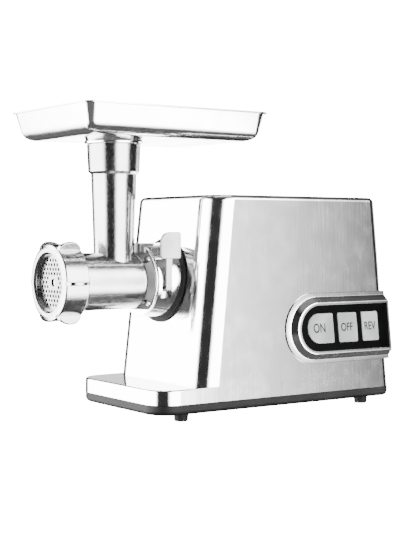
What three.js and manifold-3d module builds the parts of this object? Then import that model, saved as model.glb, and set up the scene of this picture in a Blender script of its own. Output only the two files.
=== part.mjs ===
// Electric meat grinder: a steel housing on a black base, a cast grinding head that plugs into
// an outlet collar, a food tray on the feed tube, and a geared motor inside.
// Millimetres, +Z up. The head points along -Y and the button panel faces +X.
import * as THREE from 'three';
import { mergeVertices } from 'three/addons/utils/BufferGeometryUtils.js';
import Module from 'manifold-3d';

const wasm = await Module();
wasm.setup();

// ---------- driving dimensions ----------

const GAP = 0.3; // play between pieces that meet
const UP = Math.PI / 2;

// Housing: plan at the floor of the skirt, and how far each face has leaned in at the top
const HOUSING = {
  halfWidth: 86.5, sideLean: 2.5,
  front: -115.4, frontLean: 24.2,
  rear: 162, rearLean: 21.7,
  bottom: 21, top: 241, wall: 1.6,
  frontCorner: 28, rearCorner: 12, topRound: 6,
};
const SHELF = { front: -163, top: 37, edgeRound: 3 };
const BASE = { bottom: 10, top: 20.7, wall: 3, floor: 3, edgeRound: 6 };
const FOOT = { x: 60, frontY: -117, rearY: 137, topRadius: 8.2, bottomRadius: 7.2, boreRadius: 3.2 };

// Grinding head, on the output axis
const AXIS_Z = 148;
const BARREL = {
  front: -235, collarRear: -218, rear: -141.5, bore: 27.2,
  threadRadius: 34.6, frontRadius: 31, rearRadius: 30,
  flareRear: -134, flareRadius: 37.4, flareFlat: 30.8,
};
const TUBE = { y: -164, top: 295, shoulder: 266, neck: 263, socketBore: 26.2, bore: 19.5 };
const LUG = { halfWidth: 8.5, front: -136.8, rear: -118, top: 189, bottom: 176 };
const PLATE = {
  radius: 31, front: -237.6, rear: -232.6, holeRadius: 1.85, across: 6.1, up: 4.7, rows: 5, hub: 9.5, reach: 27,
};
const KNIFE = { front: -232.1, rear: -224.1, reach: 25.6, armHalfWidth: 6, squareHalf: 5 };
const NUT = {
  front: -244.4, rear: -216.5, radius: 40.4, threadRadius: 35.2, lip: 6.5, mouth: 30, mouthFlare: 32, faceRadius: 36.2,
};
const EAR = { count: 6, halfWidth: 2.2, root: 38, middle: -229.7, halfLength: 12.7, rise: 8.8 };
const SCREW = { front: -222, rear: -135, reach: 26, core: 10, pitch: 29, steps: 30, fin: 62 };
const RING = { front: -133.7, discRear: -131, rear: -101, discRadius: 39, radius: 34, wallFront: -118, wallRear: -112 };
const SHANK = { journal: 8.6, journalRear: -111.5, hexRadius: 6.6, rear: -93.5 };
const BOLT = { orbit: 34.4, angles: [43.5, 136.5, 223.5, 316.5], headRadius: 3.1, radius: 1.7, pocket: 4.2, seat: 1.6 };

// Outlet on the housing
const COLLAR = { front: -130.7, frontRadius: 38.4, rearRadius: 42, bore: 34.5, neckRadius: 37, neckRear: -94.5 };
const GASKET = { radius: 46.5, bore: 38.6, thick: 2.6 };
const OUTLET_HOLE = 38;
const LEVER = {
  pivotX: 36.5, pivotZ: 139.6, eye: 2.4, pin: 1, inner: 41.7, outer: 45.2, stemTop: 178, slotBottom: 130.2,
  stemFront: -125, stemRear: -118, padFront: -132, padRear: -107, padBottom: 172.4, padTop: 201,
};

// Food tray
const TRAY = { halfWidth: 87.2, front: -247.3, rear: -14.4, top: 331, floor: 300, corner: 18, throat: 23.8 };

// Gear train, from the output gear down to the motor pinion
const GEARS = {
  output: { teeth: 36, module: 2.2 },
  second: { small: 10, big: 36, module: 1.6, direction: -120 },
  first: { small: 10, big: 40, module: 1.2, direction: -97 },
  motor: { teeth: 9, direction: 22 },
};
const PLANE = { output: [-88, -77], second: [-75, -67], first: [-65, -59] };
const CASE = { left: -62, right: 46, bottom: 36, top: 194, front: -93, rear: -55, wall: 2.5, corner: 28 };
const SHAFT = { radius: 10, front: -110.5, rear: -51.5, socketDepth: 18.5, socketRadius: 7.2, bore: 10.3 };
const BEARING = { radius: 18, front: -100, rear: -91 };

// Motor
const MOTOR = {
  halfWidth: 36, halfHeight: 31, front: -24, rear: 24, bore: 24.4, core: 23.6, shaft: 4,
  fan: [-42, -33], fanRadius: 32, commutator: [34, 46], commutatorRadius: 13, bracket: [54, 58],
};

// Button panel, in a frame that leans with the side wall: X out, Y to the rear, Z up
const PANEL = {
  z: 93.3, front: 3.5, half: 39.6, slopeFront: 10.5, slopeHalf: 35, rimFront: 15.6, rimHalf: 29.8,
  faceFront: 20.6, faceHalf: 25.7,
  out: 8, facePlate: [3.5, 7.4], rear: 152.6, rearSlope: -0.1,
};
const BUTTONS = [
  { name: 'on', front: 29.5, rear: 66.5, round: true },
  { name: 'off', front: 73.5, rear: 101.5, round: false },
  { name: 'reverse', front: 109, rear: 133.5, round: false },
];
const BUTTON = { half: 16.8, out: 8.5, back: 2.6, stem: 5, stemEnd: -5 };
const BOARD = { out: -16, thick: 1.6, front: 14, rear: 144, half: 25 };

// ---------- solids ----------

// One closed surface: shared corners merged, empty triangles dropped, faces pointing out.
function closed(geometry) {
  if (geometry.userData.closed) return geometry;
  const bare = new THREE.BufferGeometry();
  const source = geometry.index ? geometry.toNonIndexed() : geometry;
  bare.setAttribute('position', source.getAttribute('position').clone());
  const merged = mergeVertices(bare, 1e-4);
  const index = merged.index.array;
  const kept = [];
  for (let i = 0; i < index.length; i += 3) {
    const [a, b, c] = [index[i], index[i + 1], index[i + 2]];
    if (a !== b && b !== c && c !== a) kept.push(a, b, c);
  }
  if (volumeOf(merged.attributes.position, kept) < 0) kept.reverse();
  merged.setIndex(kept);
  merged.userData.closed = true;
  return merged;
}

function volumeOf(position, index) {
  const [a, b, c] = [new THREE.Vector3(), new THREE.Vector3(), new THREE.Vector3()];
  let sixfold = 0;
  for (let i = 0; i < index.length; i += 3) {
    a.fromBufferAttribute(position, index[i]);
    b.fromBufferAttribute(position, index[i + 1]);
    c.fromBufferAttribute(position, index[i + 2]);
    sixfold += a.dot(b.cross(c));
  }
  return sixfold / 6;
}

function toSolid(geometry) {
  const merged = closed(geometry);
  const vertProperties = new Float32Array(merged.attributes.position.array);
  const triVerts = new Uint32Array(merged.index.array);
  return new wasm.Manifold(new wasm.Mesh({ numProp: 3, vertProperties, triVerts }));
}

function toGeometry(solid) {
  const mesh = solid.getMesh();
  const geometry = new THREE.BufferGeometry();
  geometry.setAttribute('position', new THREE.BufferAttribute(mesh.vertProperties, 3));
  geometry.setIndex([...mesh.triVerts]);
  geometry.userData.closed = true;
  return geometry;
}

function join(first, ...others) {
  return toGeometry(others.reduce((sum, other) => sum.add(toSolid(other)), toSolid(first)));
}

function cut(first, ...others) {
  return toGeometry(others.reduce((rest, other) => rest.subtract(toSolid(other)), toSolid(first)));
}

function box(x0, x1, y0, y1, z0, z1) {
  const geometry = new THREE.BoxGeometry(x1 - x0, y1 - y0, z1 - z0);
  return geometry.translate((x0 + x1) / 2, (y0 + y1) / 2, (z0 + z1) / 2);
}

// A profile of [radius, height] turned about the Y axis; it closes on the axis or on itself.
function turned(profile, sides = 24) {
  const points = profile.map(([r, h]) => new THREE.Vector2(r, h));
  const onAxis = profile[0][0] === 0 && profile.at(-1)[0] === 0;
  if (!onAxis) points.push(points[0].clone());
  return closed(new THREE.LatheGeometry(points, sides));
}

function rod(radius, y0, y1, sides = 20) {
  return turned([[0, y0], [radius, y0], [radius, y1], [0, y1]], sides);
}

function sleeve(outer, inner, y0, y1, sides = 24) {
  return turned([[inner, y0], [outer, y0], [outer, y1], [inner, y1]], sides);
}

function upright(geometry) {
  return geometry.rotateX(UP);
}

function move(geometry, x, y, z) {
  return geometry.translate(x, y, z);
}

// Outlines drawn in X-Z, Y-Z and X-Y, and given depth along the third axis
function slabY(outline, y0, y1) {
  const geometry = new THREE.ExtrudeGeometry(asShape(outline), { depth: y1 - y0, bevelEnabled: false });
  return closed(geometry.rotateX(UP).translate(0, y1, 0));
}

function slabX(outline, x0, x1) {
  const geometry = new THREE.ExtrudeGeometry(asShape(outline), { depth: x1 - x0, bevelEnabled: false });
  const turn = new THREE.Matrix4().makeBasis(
    new THREE.Vector3(0, 1, 0), new THREE.Vector3(0, 0, 1), new THREE.Vector3(1, 0, 0));
  return closed(geometry.applyMatrix4(turn).translate(x0, 0, 0));
}

function asShape(outline) {
  return outline instanceof THREE.Shape ? outline : new THREE.Shape(outline);
}

// Skin through outlines of equal point count, each at its own height on Z, capped at both ends
function loft(levels) {
  const count = levels[0].outline.length;
  const position = levels.flatMap(({ outline, z }) => outline.flatMap((p) => [p.x, p.y, z]));
  const index = [];
  for (let level = 0; level < levels.length - 1; level += 1) {
    for (let i = 0; i < count; i += 1) {
      const a = level * count + i;
      const b = level * count + ((i + 1) % count);
      index.push(a, b, b + count, a, b + count, a + count);
    }
  }
  const last = (levels.length - 1) * count;
  for (const [a, b, c] of THREE.ShapeUtils.triangulateShape(levels[0].outline, [])) index.push(a, c, b);
  for (const [a, b, c] of THREE.ShapeUtils.triangulateShape(levels.at(-1).outline, [])) {
    index.push(last + a, last + b, last + c);
  }
  const geometry = new THREE.BufferGeometry();
  geometry.setAttribute('position', new THREE.Float32BufferAttribute(position, 3));
  geometry.setIndex(index);
  return closed(geometry);
}

// ---------- outlines ----------

function arc(x, y, radius, from, to, steps) {
  const points = [];
  for (let i = 0; i <= steps; i += 1) {
    const angle = THREE.MathUtils.degToRad(from + ((to - from) * i) / steps);
    points.push(new THREE.Vector2(x + radius * Math.cos(angle), y + radius * Math.sin(angle)));
  }
  return points;
}

function ringOutline(radius, sides = 32, x = 0, y = 0) {
  return arc(x, y, radius, 0, 360, sides).slice(0, -1);
}

// Rectangle with one corner radius at its low-y end and another at its high-y end
function roundedBox(x0, x1, y0, y1, lowRadius, highRadius = lowRadius, steps = 5) {
  return [
    ...arc(x0 + lowRadius, y0 + lowRadius, lowRadius, 180, 270, steps),
    ...arc(x1 - lowRadius, y0 + lowRadius, lowRadius, 270, 360, steps),
    ...arc(x1 - highRadius, y1 - highRadius, highRadius, 0, 90, steps),
    ...arc(x0 + highRadius, y1 - highRadius, highRadius, 90, 180, steps),
  ];
}

// Round front end and a straight rear edge that leans, drawn in Y-Z about z = 0
function dOutline(front, half, rear, slope, steps = 12) {
  return [
    new THREE.Vector2(rear + slope * half, half),
    ...arc(front + half, 0, half, 90, 270, steps),
    new THREE.Vector2(rear - slope * half, -half),
  ];
}

// Four corners to a tooth: root, flank and tip, centred on the first tooth at the given phase
function gearOutline(teeth, module, phase) {
  const pitch = (teeth * module) / 2;
  const tip = pitch + 0.82 * module;
  const root = pitch - 1.1 * module;
  const step = 360 / teeth;
  const points = [];
  for (let tooth = 0; tooth < teeth; tooth += 1) {
    const centre = phase + tooth * step;
    for (const [radius, share] of [[root, -0.25], [tip, -0.1], [tip, 0.1], [root, 0.25]]) {
      const angle = THREE.MathUtils.degToRad(centre + share * step);
      points.push(new THREE.Vector2(radius * Math.cos(angle), radius * Math.sin(angle)));
    }
  }
  return points;
}

// ---------- housing, base and feet ----------

function lean(amount, z) {
  return (amount * (z - HOUSING.bottom)) / (HOUSING.top - HOUSING.bottom);
}

const sideAt = (z) => HOUSING.halfWidth - lean(HOUSING.sideLean, z);
const frontAt = (z) => HOUSING.front + lean(HOUSING.frontLean, z);
const rearAt = (z) => HOUSING.rear - lean(HOUSING.rearLean, z);
const SIDE_TILT = Math.atan(HOUSING.sideLean / (HOUSING.top - HOUSING.bottom));
const FRONT_TILT = Math.atan(HOUSING.frontLean / (HOUSING.top - HOUSING.bottom));
const REAR_TILT = Math.atan(HOUSING.rearLean / (HOUSING.top - HOUSING.bottom));

function housingLevel(z, inset, front = frontAt(z)) {
  const frontRadius = Math.max(HOUSING.frontCorner - inset, 2);
  const rearRadius = Math.max(HOUSING.rearCorner - inset, 2);
  const side = sideAt(z) - inset;
  return { z, outline: roundedBox(-side, side, front + inset, rearAt(z) - inset, frontRadius, rearRadius) };
}

function housingBody(inset, bottom) {
  const { top, topRound } = HOUSING;
  return loft([
    housingLevel(bottom, inset),
    housingLevel(top - topRound, inset),
    housingLevel(top - 0.3 * topRound - inset, inset + 0.28 * topRound),
    housingLevel(top - inset, inset + topRound * 0.9),
  ]);
}

function housingShelf(inset, bottom) {
  const { front, top, edgeRound } = SHELF;
  return loft([
    housingLevel(bottom, inset, front),
    housingLevel(top - edgeRound, inset, front),
    housingLevel(top - 0.3 * edgeRound - inset, inset + 0.3 * edgeRound, front),
    housingLevel(top - inset, inset + edgeRound * 0.9, front),
  ]);
}

const PANEL_WINDOW = dOutline(PANEL.faceFront + 3, PANEL.faceHalf - 3, 138, PANEL.rearSlope);
const GRILLE = { z: 172, halfWidth: 56, half: 34, corner: 8, slots: 7, slotHeight: 4.4, thick: 3 };
const INLET = { z: 50, x: -48, radius: 7.5 };

function onSide(geometry) {
  return geometry.rotateY(-SIDE_TILT).translate(sideAt(PANEL.z), 0, PANEL.z);
}

function onRear(geometry, z) {
  return geometry.rotateX(REAR_TILT).translate(0, rearAt(z), z);
}

function housingShell() {
  const { wall, bottom } = HOUSING;
  const outer = join(housingBody(0, bottom), housingShelf(0, bottom));
  const inner = join(housingBody(wall, bottom - 1), housingShelf(wall, bottom - 1));
  const outlet = move(rod(OUTLET_HOLE, -130, -80, 32), 0, 0, AXIS_Z);
  const window = onSide(slabX(PANEL_WINDOW, -6, 6));
  const { halfWidth, half, corner, z } = GRILLE;
  const vent = onRear(slabY(roundedBox(-halfWidth + 4, halfWidth - 4, -half + 4, half - 4, corner - 3), -8, 8), z);
  const inlet = move(rod(INLET.radius + GAP, 140, 175, 16), INLET.x, 0, INLET.z);
  return cut(outer, inner, outlet, window, vent, inlet);
}

function basePan() {
  const { bottom, top, wall, floor, edgeRound } = BASE;
  const level = (z, inset) => {
    const side = HOUSING.halfWidth - 0.2 - inset;
    const round = Math.max(HOUSING.frontCorner - inset, 2);
    const rear = Math.max(HOUSING.rearCorner - inset, 2);
    const outline = roundedBox(-side, side, SHELF.front + 0.2 + inset, HOUSING.rear - 0.2 - inset, round, rear);
    return { z, outline };
  };
  const outer = loft([level(bottom, edgeRound), level(bottom + 1.6, 2.1), level(bottom + 4.5, 0.3), level(top, 0)]);
  const inner = loft([level(bottom + floor, wall + 3), level(bottom + floor + 2, wall), level(top + 1, wall)]);
  let pan = cut(outer, inner);
  for (const [x, y] of footPlaces()) {
    pan = join(pan, move(upright(rod(6.5, bottom + 1, top - 1, 12)), x, y, 0));
  }
  for (const [x, y] of footPlaces()) {
    pan = cut(pan, move(upright(rod(2.2, bottom - 1, top - 4, 10)), x, y, 0));
  }
  return pan;
}

function footPlaces() {
  const { x, frontY, rearY } = FOOT;
  return [[x, frontY], [-x, frontY], [x, rearY], [-x, rearY]];
}

// Rubber foot with a counterbore that sinks its screw
function foot() {
  const { topRadius, bottomRadius, boreRadius } = FOOT;
  const top = BASE.bottom - GAP;
  return upright(turned([
    [4.6, 0], [bottomRadius, 0], [topRadius, top], [boreRadius - 1, top], [boreRadius - 1, 5], [4.6, 5],
  ], 12));
}

function footScrew() {
  return upright(turned([[0, 2.4], [3.6, 2.4], [4.1, 4.6], [1.8, 4.7], [1.8, 16], [0, 16]], 8));
}

function rearGrille() {
  const { halfWidth, half, corner, slots, slotHeight, thick, z } = GRILLE;
  const flange = slabY(roundedBox(-halfWidth, halfWidth, -half, half, corner), GAP, thick);
  const bars = [];
  for (let i = 0; i < slots; i += 1) {
    const height = (i - (slots - 1) / 2) * 8.6;
    const width = halfWidth - 9;
    bars.push(box(-width, width, -1, 6, height - slotHeight / 2, height + slotHeight / 2));
  }
  return onRear(cut(flange, ...bars), z);
}

function mainsInlet() {
  const { x, z, radius } = INLET;
  const face = rearAt(z);
  const profile = [
    [3.7, face - 12], [radius - 0.2, face - 12], [radius - 0.2, face + 0.6], [radius + 3, face + 1.5],
    [radius + 2, face + 2.7], [3.7, face + 2.7],
  ];
  return move(turned(profile, 16), x, 0, z);
}

// ---------- grinding head ----------

function onAxis(geometry) {
  return move(geometry, 0, 0, AXIS_Z);
}

function headCasting() {
  const { front, collarRear, rear, bore, threadRadius, frontRadius, rearRadius } = BARREL;
  const { flareRear, flareRadius, flareFlat } = BARREL;
  const barrel = onAxis(turned([
    [0, front], [threadRadius, front], [threadRadius, collarRear], [frontRadius, collarRear + 0.1],
    [rearRadius, rear], [flareRadius, flareRear - 0.8], [flareRadius, flareRear], [0, flareRear],
  ], 28));
  const tube = move(upright(turned([
    [0, AXIS_Z], [22, AXIS_Z], [22.1, 184], [24.4, TUBE.neck], [27.6, TUBE.shoulder], [28.9, TUBE.top - 0.8],
    [28.4, TUBE.top], [0, TUBE.top],
  ], 24)), 0, TUBE.y, 0);
  const lug = box(-LUG.halfWidth, LUG.halfWidth, LUG.front, LUG.rear, LUG.bottom, LUG.top);
  const lugRoot = box(-LUG.halfWidth, LUG.halfWidth, LUG.front, flareRear, 160, LUG.bottom + 1);
  const rib = box(-2.4, 2.4, TUBE.y + 18, TUBE.y + 24.6, 178, 243);
  const throat = move(upright(turned([
    [0, AXIS_Z], [TUBE.bore, AXIS_Z], [TUBE.bore + 1, TUBE.neck], [TUBE.socketBore, TUBE.shoulder],
    [TUBE.socketBore, TUBE.top + 1], [0, TUBE.top + 1],
  ], 20)), 0, TUBE.y, 0);
  const chamber = onAxis(rod(bore, front - 1, flareRear + 1, 24));
  const seat = onAxis(rod(PLATE.radius + 0.4, front - 1, PLATE.rear + GAP, 28));
  const drills = boltHoles(2, flareRear - 12, flareRear + 1);
  const pockets = boltHoles(BOLT.pocket, flareRear - 12, flareRear - BOLT.seat, 14);
  const below = box(-50, 50, rear, flareRear + 1, AXIS_Z - 60, AXIS_Z - flareFlat);
  const above = box(-50, 50, rear, flareRear + 1, AXIS_Z + flareFlat, AXIS_Z + 60);
  const casting = join(cut(barrel, below, above), tube, lug, lugRoot, rib);
  return cut(casting, throat, chamber, seat, ...drills, ...pockets);
}

function boltHoles(radius, y0, y1, sides = 8) {
  return BOLT.angles.map((angle) => {
    const turn = THREE.MathUtils.degToRad(angle);
    const [x, z] = [BOLT.orbit * Math.cos(turn), BOLT.orbit * Math.sin(turn)];
    return move(rod(radius, y0, y1, sides), x, 0, AXIS_Z + z);
  });
}

function flangeScrew(angle) {
  const turn = THREE.MathUtils.degToRad(angle);
  const rear = BARREL.flareRear - BOLT.seat - GAP;
  const profile = [
    [0, rear - 2], [BOLT.headRadius, rear - 2], [BOLT.headRadius, rear], [BOLT.radius, rear],
    [BOLT.radius, RING.discRear - 0.6], [0, RING.discRear - 0.6],
  ];
  return move(turned(profile, 8), BOLT.orbit * Math.cos(turn), 0, AXIS_Z + BOLT.orbit * Math.sin(turn));
}

// Ring behind the casting: a bolted disc, a sleeve that fits the collar and a wall for the bush
function flangeRing() {
  const { front, discRear, rear, discRadius, radius, wallFront, wallRear } = RING;
  const ring = onAxis(turned([
    [BARREL.bore, front], [discRadius - 0.8, front], [discRadius, front + 0.8], [discRadius - 1.8, discRear],
    [radius, discRear], [radius, rear], [BARREL.bore + 1, rear], [BARREL.bore + 1, wallRear], [13.3, wallRear],
    [13.3, wallFront], [BARREL.bore, wallFront],
  ], 28));
  const slot = box(-LUG.halfWidth - GAP, LUG.halfWidth + GAP, front - 1, LUG.rear + GAP, LUG.bottom - GAP, 200);
  return cut(ring, slot, ...boltHoles(2, front - 1, discRear - 0.4));
}

function cuttingPlate() {
  const { radius, front, rear, holeRadius, across, up, rows, hub, reach } = PLATE;
  const shape = new THREE.Shape(ringOutline(radius, 28));
  shape.holes.push(new THREE.Path(ringOutline(4.2, 12)));
  for (let row = -rows; row <= rows; row += 1) {
    for (let column = -rows; column <= rows; column += 1) {
      const x = (column + (row % 2 === 0 ? 0.5 : 0)) * across;
      const z = row * up;
      const distance = Math.hypot(x, z);
      if (distance < hub || distance > reach) continue;
      shape.holes.push(new THREE.Path(ringOutline(holeRadius, 5, x, z)));
    }
  }
  return onAxis(slabY(shape, front, rear));
}

function crossKnife() {
  const { front, rear, reach, armHalfWidth, squareHalf } = KNIFE;
  const points = [];
  for (let arm = 0; arm < 4; arm += 1) {
    const corners = [[10.5, -armHalfWidth], [reach, -armHalfWidth + 2], [reach - 0.6, armHalfWidth - 3.5], [10.5, 4]];
    for (const [x, z] of corners) {
      points.push(new THREE.Vector2(x, z).rotateAround(new THREE.Vector2(), arm * UP));
    }
  }
  const square = box(-squareHalf, squareHalf, front - 1, rear + 1, -squareHalf, squareHalf);
  return onAxis(cut(slabY(points, front, rear), square));
}

// Screw: a round core and one long fin, swept round as it runs back
function feedScrew() {
  const { front, rear, reach, core, pitch, steps, fin } = SCREW;
  const section = [...arc(0, 0, reach, -fin / 2, fin / 2, 3), ...arc(0, 0, core, fin / 2 + 26, 334 - fin / 2, 5)];
  const levels = [];
  for (let i = 0; i <= steps; i += 1) {
    const along = (i / steps) * (rear - front);
    const turn = (along / pitch) * 2 * Math.PI;
    levels.push({ z: -rear + along, outline: section.map((p) => p.clone().rotateAround(new THREE.Vector2(), turn)) });
  }
  const flight = loft(levels).rotateX(UP);
  const root = turned([
    [0, front], [core + 0.5, front], [core + 0.5, rear + 2], [16, rear + 6], [16, RING.wallFront - 2.4],
    [0, RING.wallFront - 2.4],
  ], 20);
  const bores = [box(-3.3, 3.3, front - 1, front + 9, -3.3, 3.3), rod(5.3, -126, -110, 12)];
  return onAxis(cut(join(flight, root), ...bores));
}

// Stud in the screw's nose: a square that drives the knife and a pin that centres the plate
function knifeStud() {
  const half = KNIFE.squareHalf - GAP;
  const square = box(-half, half, KNIFE.front + GAP, SCREW.front - GAP, -half, half);
  const root = box(-3, 3, SCREW.front - 1, SCREW.front + 8.5, -3, 3);
  return onAxis(join(square, root, rod(3.7, -236, KNIFE.front + 1, 14)));
}

function driveShank() {
  const { journal, journalRear, hexRadius, rear } = SHANK;
  const stem = rod(5, -125.5, RING.wallFront - 1, 12);
  const neck = rod(journal, RING.wallFront - 1.8, journalRear, 24);
  return onAxis(join(stem, neck, slabY(ringOutline(hexRadius, 6), journalRear - 1, rear)));
}

function rearBush() {
  return onAxis(sleeve(13, journalBore(), RING.wallFront + 0.2, RING.wallRear - 0.2, 24));
}

function journalBore() {
  return SHANK.journal + 0.35;
}

function thrustWasher() {
  return onAxis(sleeve(15.5, journalBore(), RING.wallFront - 1.8, RING.wallFront - 0.4, 24));
}

// One of the half-round grips that stand round the nut, drawn pointing up
function nutEar() {
  const { halfWidth, root, middle, halfLength, rise } = EAR;
  const crown = arc(0, 0, 1, 0, 180, 12).map((p) => {
    const y = THREE.MathUtils.clamp(middle + halfLength * p.x, NUT.front + 0.3, NUT.rear - 0.8);
    return new THREE.Vector2(y, NUT.radius - 0.2 + rise * p.y);
  });
  return slabX([new THREE.Vector2(crown.at(-1).x, root), new THREE.Vector2(crown[0].x, root), ...crown],
    -halfWidth, halfWidth);
}

function ringNut() {
  const { front, rear, radius, threadRadius, lip, mouth, mouthFlare, faceRadius } = NUT;
  const outside = turned([
    [0, front], [faceRadius, front], [radius - 1, front + 1.1], [radius, front + 2.6], [radius, rear - 0.8],
    [radius - 0.8, rear], [0, rear],
  ], 48);
  const ears = [];
  for (let i = 0; i < EAR.count; i += 1) {
    ears.push(nutEar().rotateY((i / EAR.count) * 2 * Math.PI + UP));
  }
  const inside = turned([
    [0, front - 1], [mouthFlare, front - 1], [mouthFlare, front], [mouth, front + 2.4], [mouth, front + lip],
    [threadRadius, front + lip], [threadRadius, rear + 1], [0, rear + 1],
  ], 32);
  return onAxis(cut(join(outside, ...ears), inside));
}

// ---------- outlet collar and release lever ----------

function outletCollar() {
  const { front, frontRadius, rearRadius, bore, neckRadius, neckRear } = COLLAR;
  const body = turned([
    [bore, front], [frontRadius, front], [rearRadius, -100], [rearRadius, -90], [bore, -90],
  ], 32);
  const leaning = box(-80, 80, 0, 60, -80, 80).rotateX(-FRONT_TILT);
  const face = frontAt(AXIS_Z) - GASKET.thick - 2 * GAP;
  const flare = cut(body, leaning.translate(0, face, 0));
  const ring = onAxis(join(flare, sleeve(neckRadius, bore, front + 4, neckRear, 32)));
  const notch = box(-LUG.halfWidth - 0.6, LUG.halfWidth + 0.6, front - 1, LUG.rear + 0.6, LUG.bottom - 0.6, 200);
  const slot = box(33.8, 60, LEVER.stemFront - 1, LEVER.stemRear + 3.6, LEVER.slotBottom, LEVER.pivotZ + 2.6);
  const pinHole = move(rod(LEVER.pin + 0.15, LEVER.stemFront - 4, LEVER.stemRear + 6, 10), LEVER.pivotX, 0, LEVER.pivotZ);
  return cut(ring, notch, slot, pinHole);
}

function collarGasket() {
  const { radius, bore, thick } = GASKET;
  const ring = sleeve(radius, bore, -thick / 2, thick / 2, 32).rotateX(-FRONT_TILT);
  return onAxis(move(ring, 0, frontAt(AXIS_Z) - thick / 2 - GAP, 0));
}

function releaseLever() {
  const { pivotX, pivotZ, eye, pin, inner, outer, stemTop, stemFront, stemRear } = LEVER;
  const eyeRod = move(rod(eye, stemFront, stemRear, 14), pivotX, 0, pivotZ);
  const armOutline = [[pivotX, pivotZ - 1.6], [outer - 1.6, pivotZ - 1.6], [outer, pivotZ], [outer, stemTop],
    [inner, stemTop], [inner, pivotZ + 1.8], [pivotX, pivotZ + 1.8]];
  const arm = slabY(armOutline.map(([x, z]) => new THREE.Vector2(x, z)), stemFront, stemRear);
  const { padFront, padRear, padBottom, padTop } = LEVER;
  const padOutline = [
    ...arc(padFront + 3, padBottom + 3, 3, 180, 270, 2),
    ...arc(padRear - 3, padBottom + 3, 3, 270, 360, 2),
    ...arc(padRear - 3, padTop - 3, 3, 0, 90, 2),
    ...arc(padFront + 15, padTop - 15, 15, 90, 180, 6),
  ];
  const pad = slabX(padOutline, inner - 0.2, outer + 0.4);
  return cut(join(eyeRod, arm, pad), move(rod(pin + 0.3, -130, -110, 10), pivotX, 0, pivotZ));
}

function leverPin() {
  return move(rod(LEVER.pin, LEVER.stemFront - 3.5, LEVER.stemRear + 5.5, 10), LEVER.pivotX, 0, LEVER.pivotZ);
}

// Torsion spring beside the lever: two and a half turns of wire round the pin, with straight ends
function leverSpring() {
  const { pivotX, pivotZ, stemRear } = LEVER;
  const points = [];
  for (let i = 0; i <= 20; i += 1) {
    const turn = (i / 20) * 5 * Math.PI;
    points.push(new THREE.Vector3(2 * Math.sin(turn), i * 0.11, -2 * Math.cos(turn)));
  }
  const wire = new THREE.CatmullRomCurve3(points);
  const shape = new THREE.Shape(ringOutline(0.3, 4));
  const coil = new THREE.ExtrudeGeometry(shape, { steps: 24, extrudePath: wire, bevelEnabled: false });
  return move(closed(coil), pivotX, stemRear + 0.4, pivotZ);
}

// ---------- food tray ----------

function foodTray() {
  const { halfWidth, front, rear, top, floor, corner, throat } = TRAY;
  const level = (z, inset) => ({
    z, outline: roundedBox(-halfWidth + inset, halfWidth - inset, front + inset, rear - inset,
      Math.max(corner - inset * 0.45, 3)),
  });
  const outer = loft([level(floor, 20), level(floor + 1.6, 14.2), level(floor + 5, 10.6), level(floor + 9, 9),
    level(top - 2, 3), level(top - 2, 0), level(top, 0)]);
  const inner = loft([level(floor + 1.5, 20.5), level(floor + 3, 15.6), level(floor + 6.2, 12.1),
    level(floor + 10, 10.4), level(top + 1, 4)]);
  const spout = move(upright(turned([
    [0, 273], [25.4, 273], [25.7, 295.3], [31.3, 295.4], [31.5, 297], [30, floor + 0.5], [0, floor + 0.5],
  ], 32)), 0, TUBE.y, 0);
  const hole = move(upright(rod(throat, 260, 320, 28)), 0, TUBE.y, 0);
  return cut(join(cut(outer, inner), spout), hole);
}

// ---------- gear train ----------

function step(from, distance, direction) {
  const turn = THREE.MathUtils.degToRad(direction);
  return { x: from.x + distance * Math.cos(turn), z: from.z + distance * Math.sin(turn) };
}

const centreDistance = (a, b, module) => ((a + b) * module) / 2;
const OUTPUT_AXIS = { x: 0, z: AXIS_Z };
const SECOND_AXIS = step(OUTPUT_AXIS,
  centreDistance(GEARS.output.teeth, GEARS.second.small, GEARS.output.module), GEARS.second.direction);
const FIRST_AXIS = step(SECOND_AXIS,
  centreDistance(GEARS.second.big, GEARS.first.small, GEARS.second.module), GEARS.first.direction);
const MOTOR_AXIS = step(FIRST_AXIS,
  centreDistance(GEARS.first.big, GEARS.motor.teeth, GEARS.first.module), GEARS.motor.direction);

// A wheel shows a tooth towards its driver, and the driver a gap towards the wheel.
const toothTowards = (direction) => direction;
const gapTowards = (direction, teeth) => direction + 180 + 180 / teeth;

function at(axis, geometry) {
  return move(geometry, axis.x, 0, axis.z);
}

function outputGear() {
  const { teeth, module } = GEARS.output;
  const [y0, y1] = PLANE.output;
  const wheel = slabY(gearOutline(teeth, module, toothTowards(GEARS.second.direction)), y0, y1);
  return at(OUTPUT_AXIS, cut(wheel, rod(SHAFT.bore, y0 - 1, y1 + 1, 24)));
}

function compoundGear(small, big, smallModule, bigModule, smallPhase, bigPhase, smallPlane, bigPlane, axis) {
  const pinion = slabY(gearOutline(small, smallModule, smallPhase), smallPlane[0], bigPlane[0] + 1);
  const wheel = slabY(gearOutline(big, bigModule, bigPhase), bigPlane[0], bigPlane[1]);
  const bore = rod(4.3, smallPlane[0] - 1, bigPlane[1] + 1, 16);
  return at(axis, cut(join(pinion, wheel), bore));
}

function secondGear() {
  const { small, big, module, direction } = GEARS.second;
  return compoundGear(small, big, GEARS.output.module, module, gapTowards(direction, small),
    toothTowards(GEARS.first.direction), PLANE.output, PLANE.second, SECOND_AXIS);
}

function firstGear() {
  const { small, big, module, direction } = GEARS.first;
  return compoundGear(small, big, GEARS.second.module, module, gapTowards(direction, small),
    toothTowards(GEARS.motor.direction), PLANE.second, PLANE.first, FIRST_AXIS);
}

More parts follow.
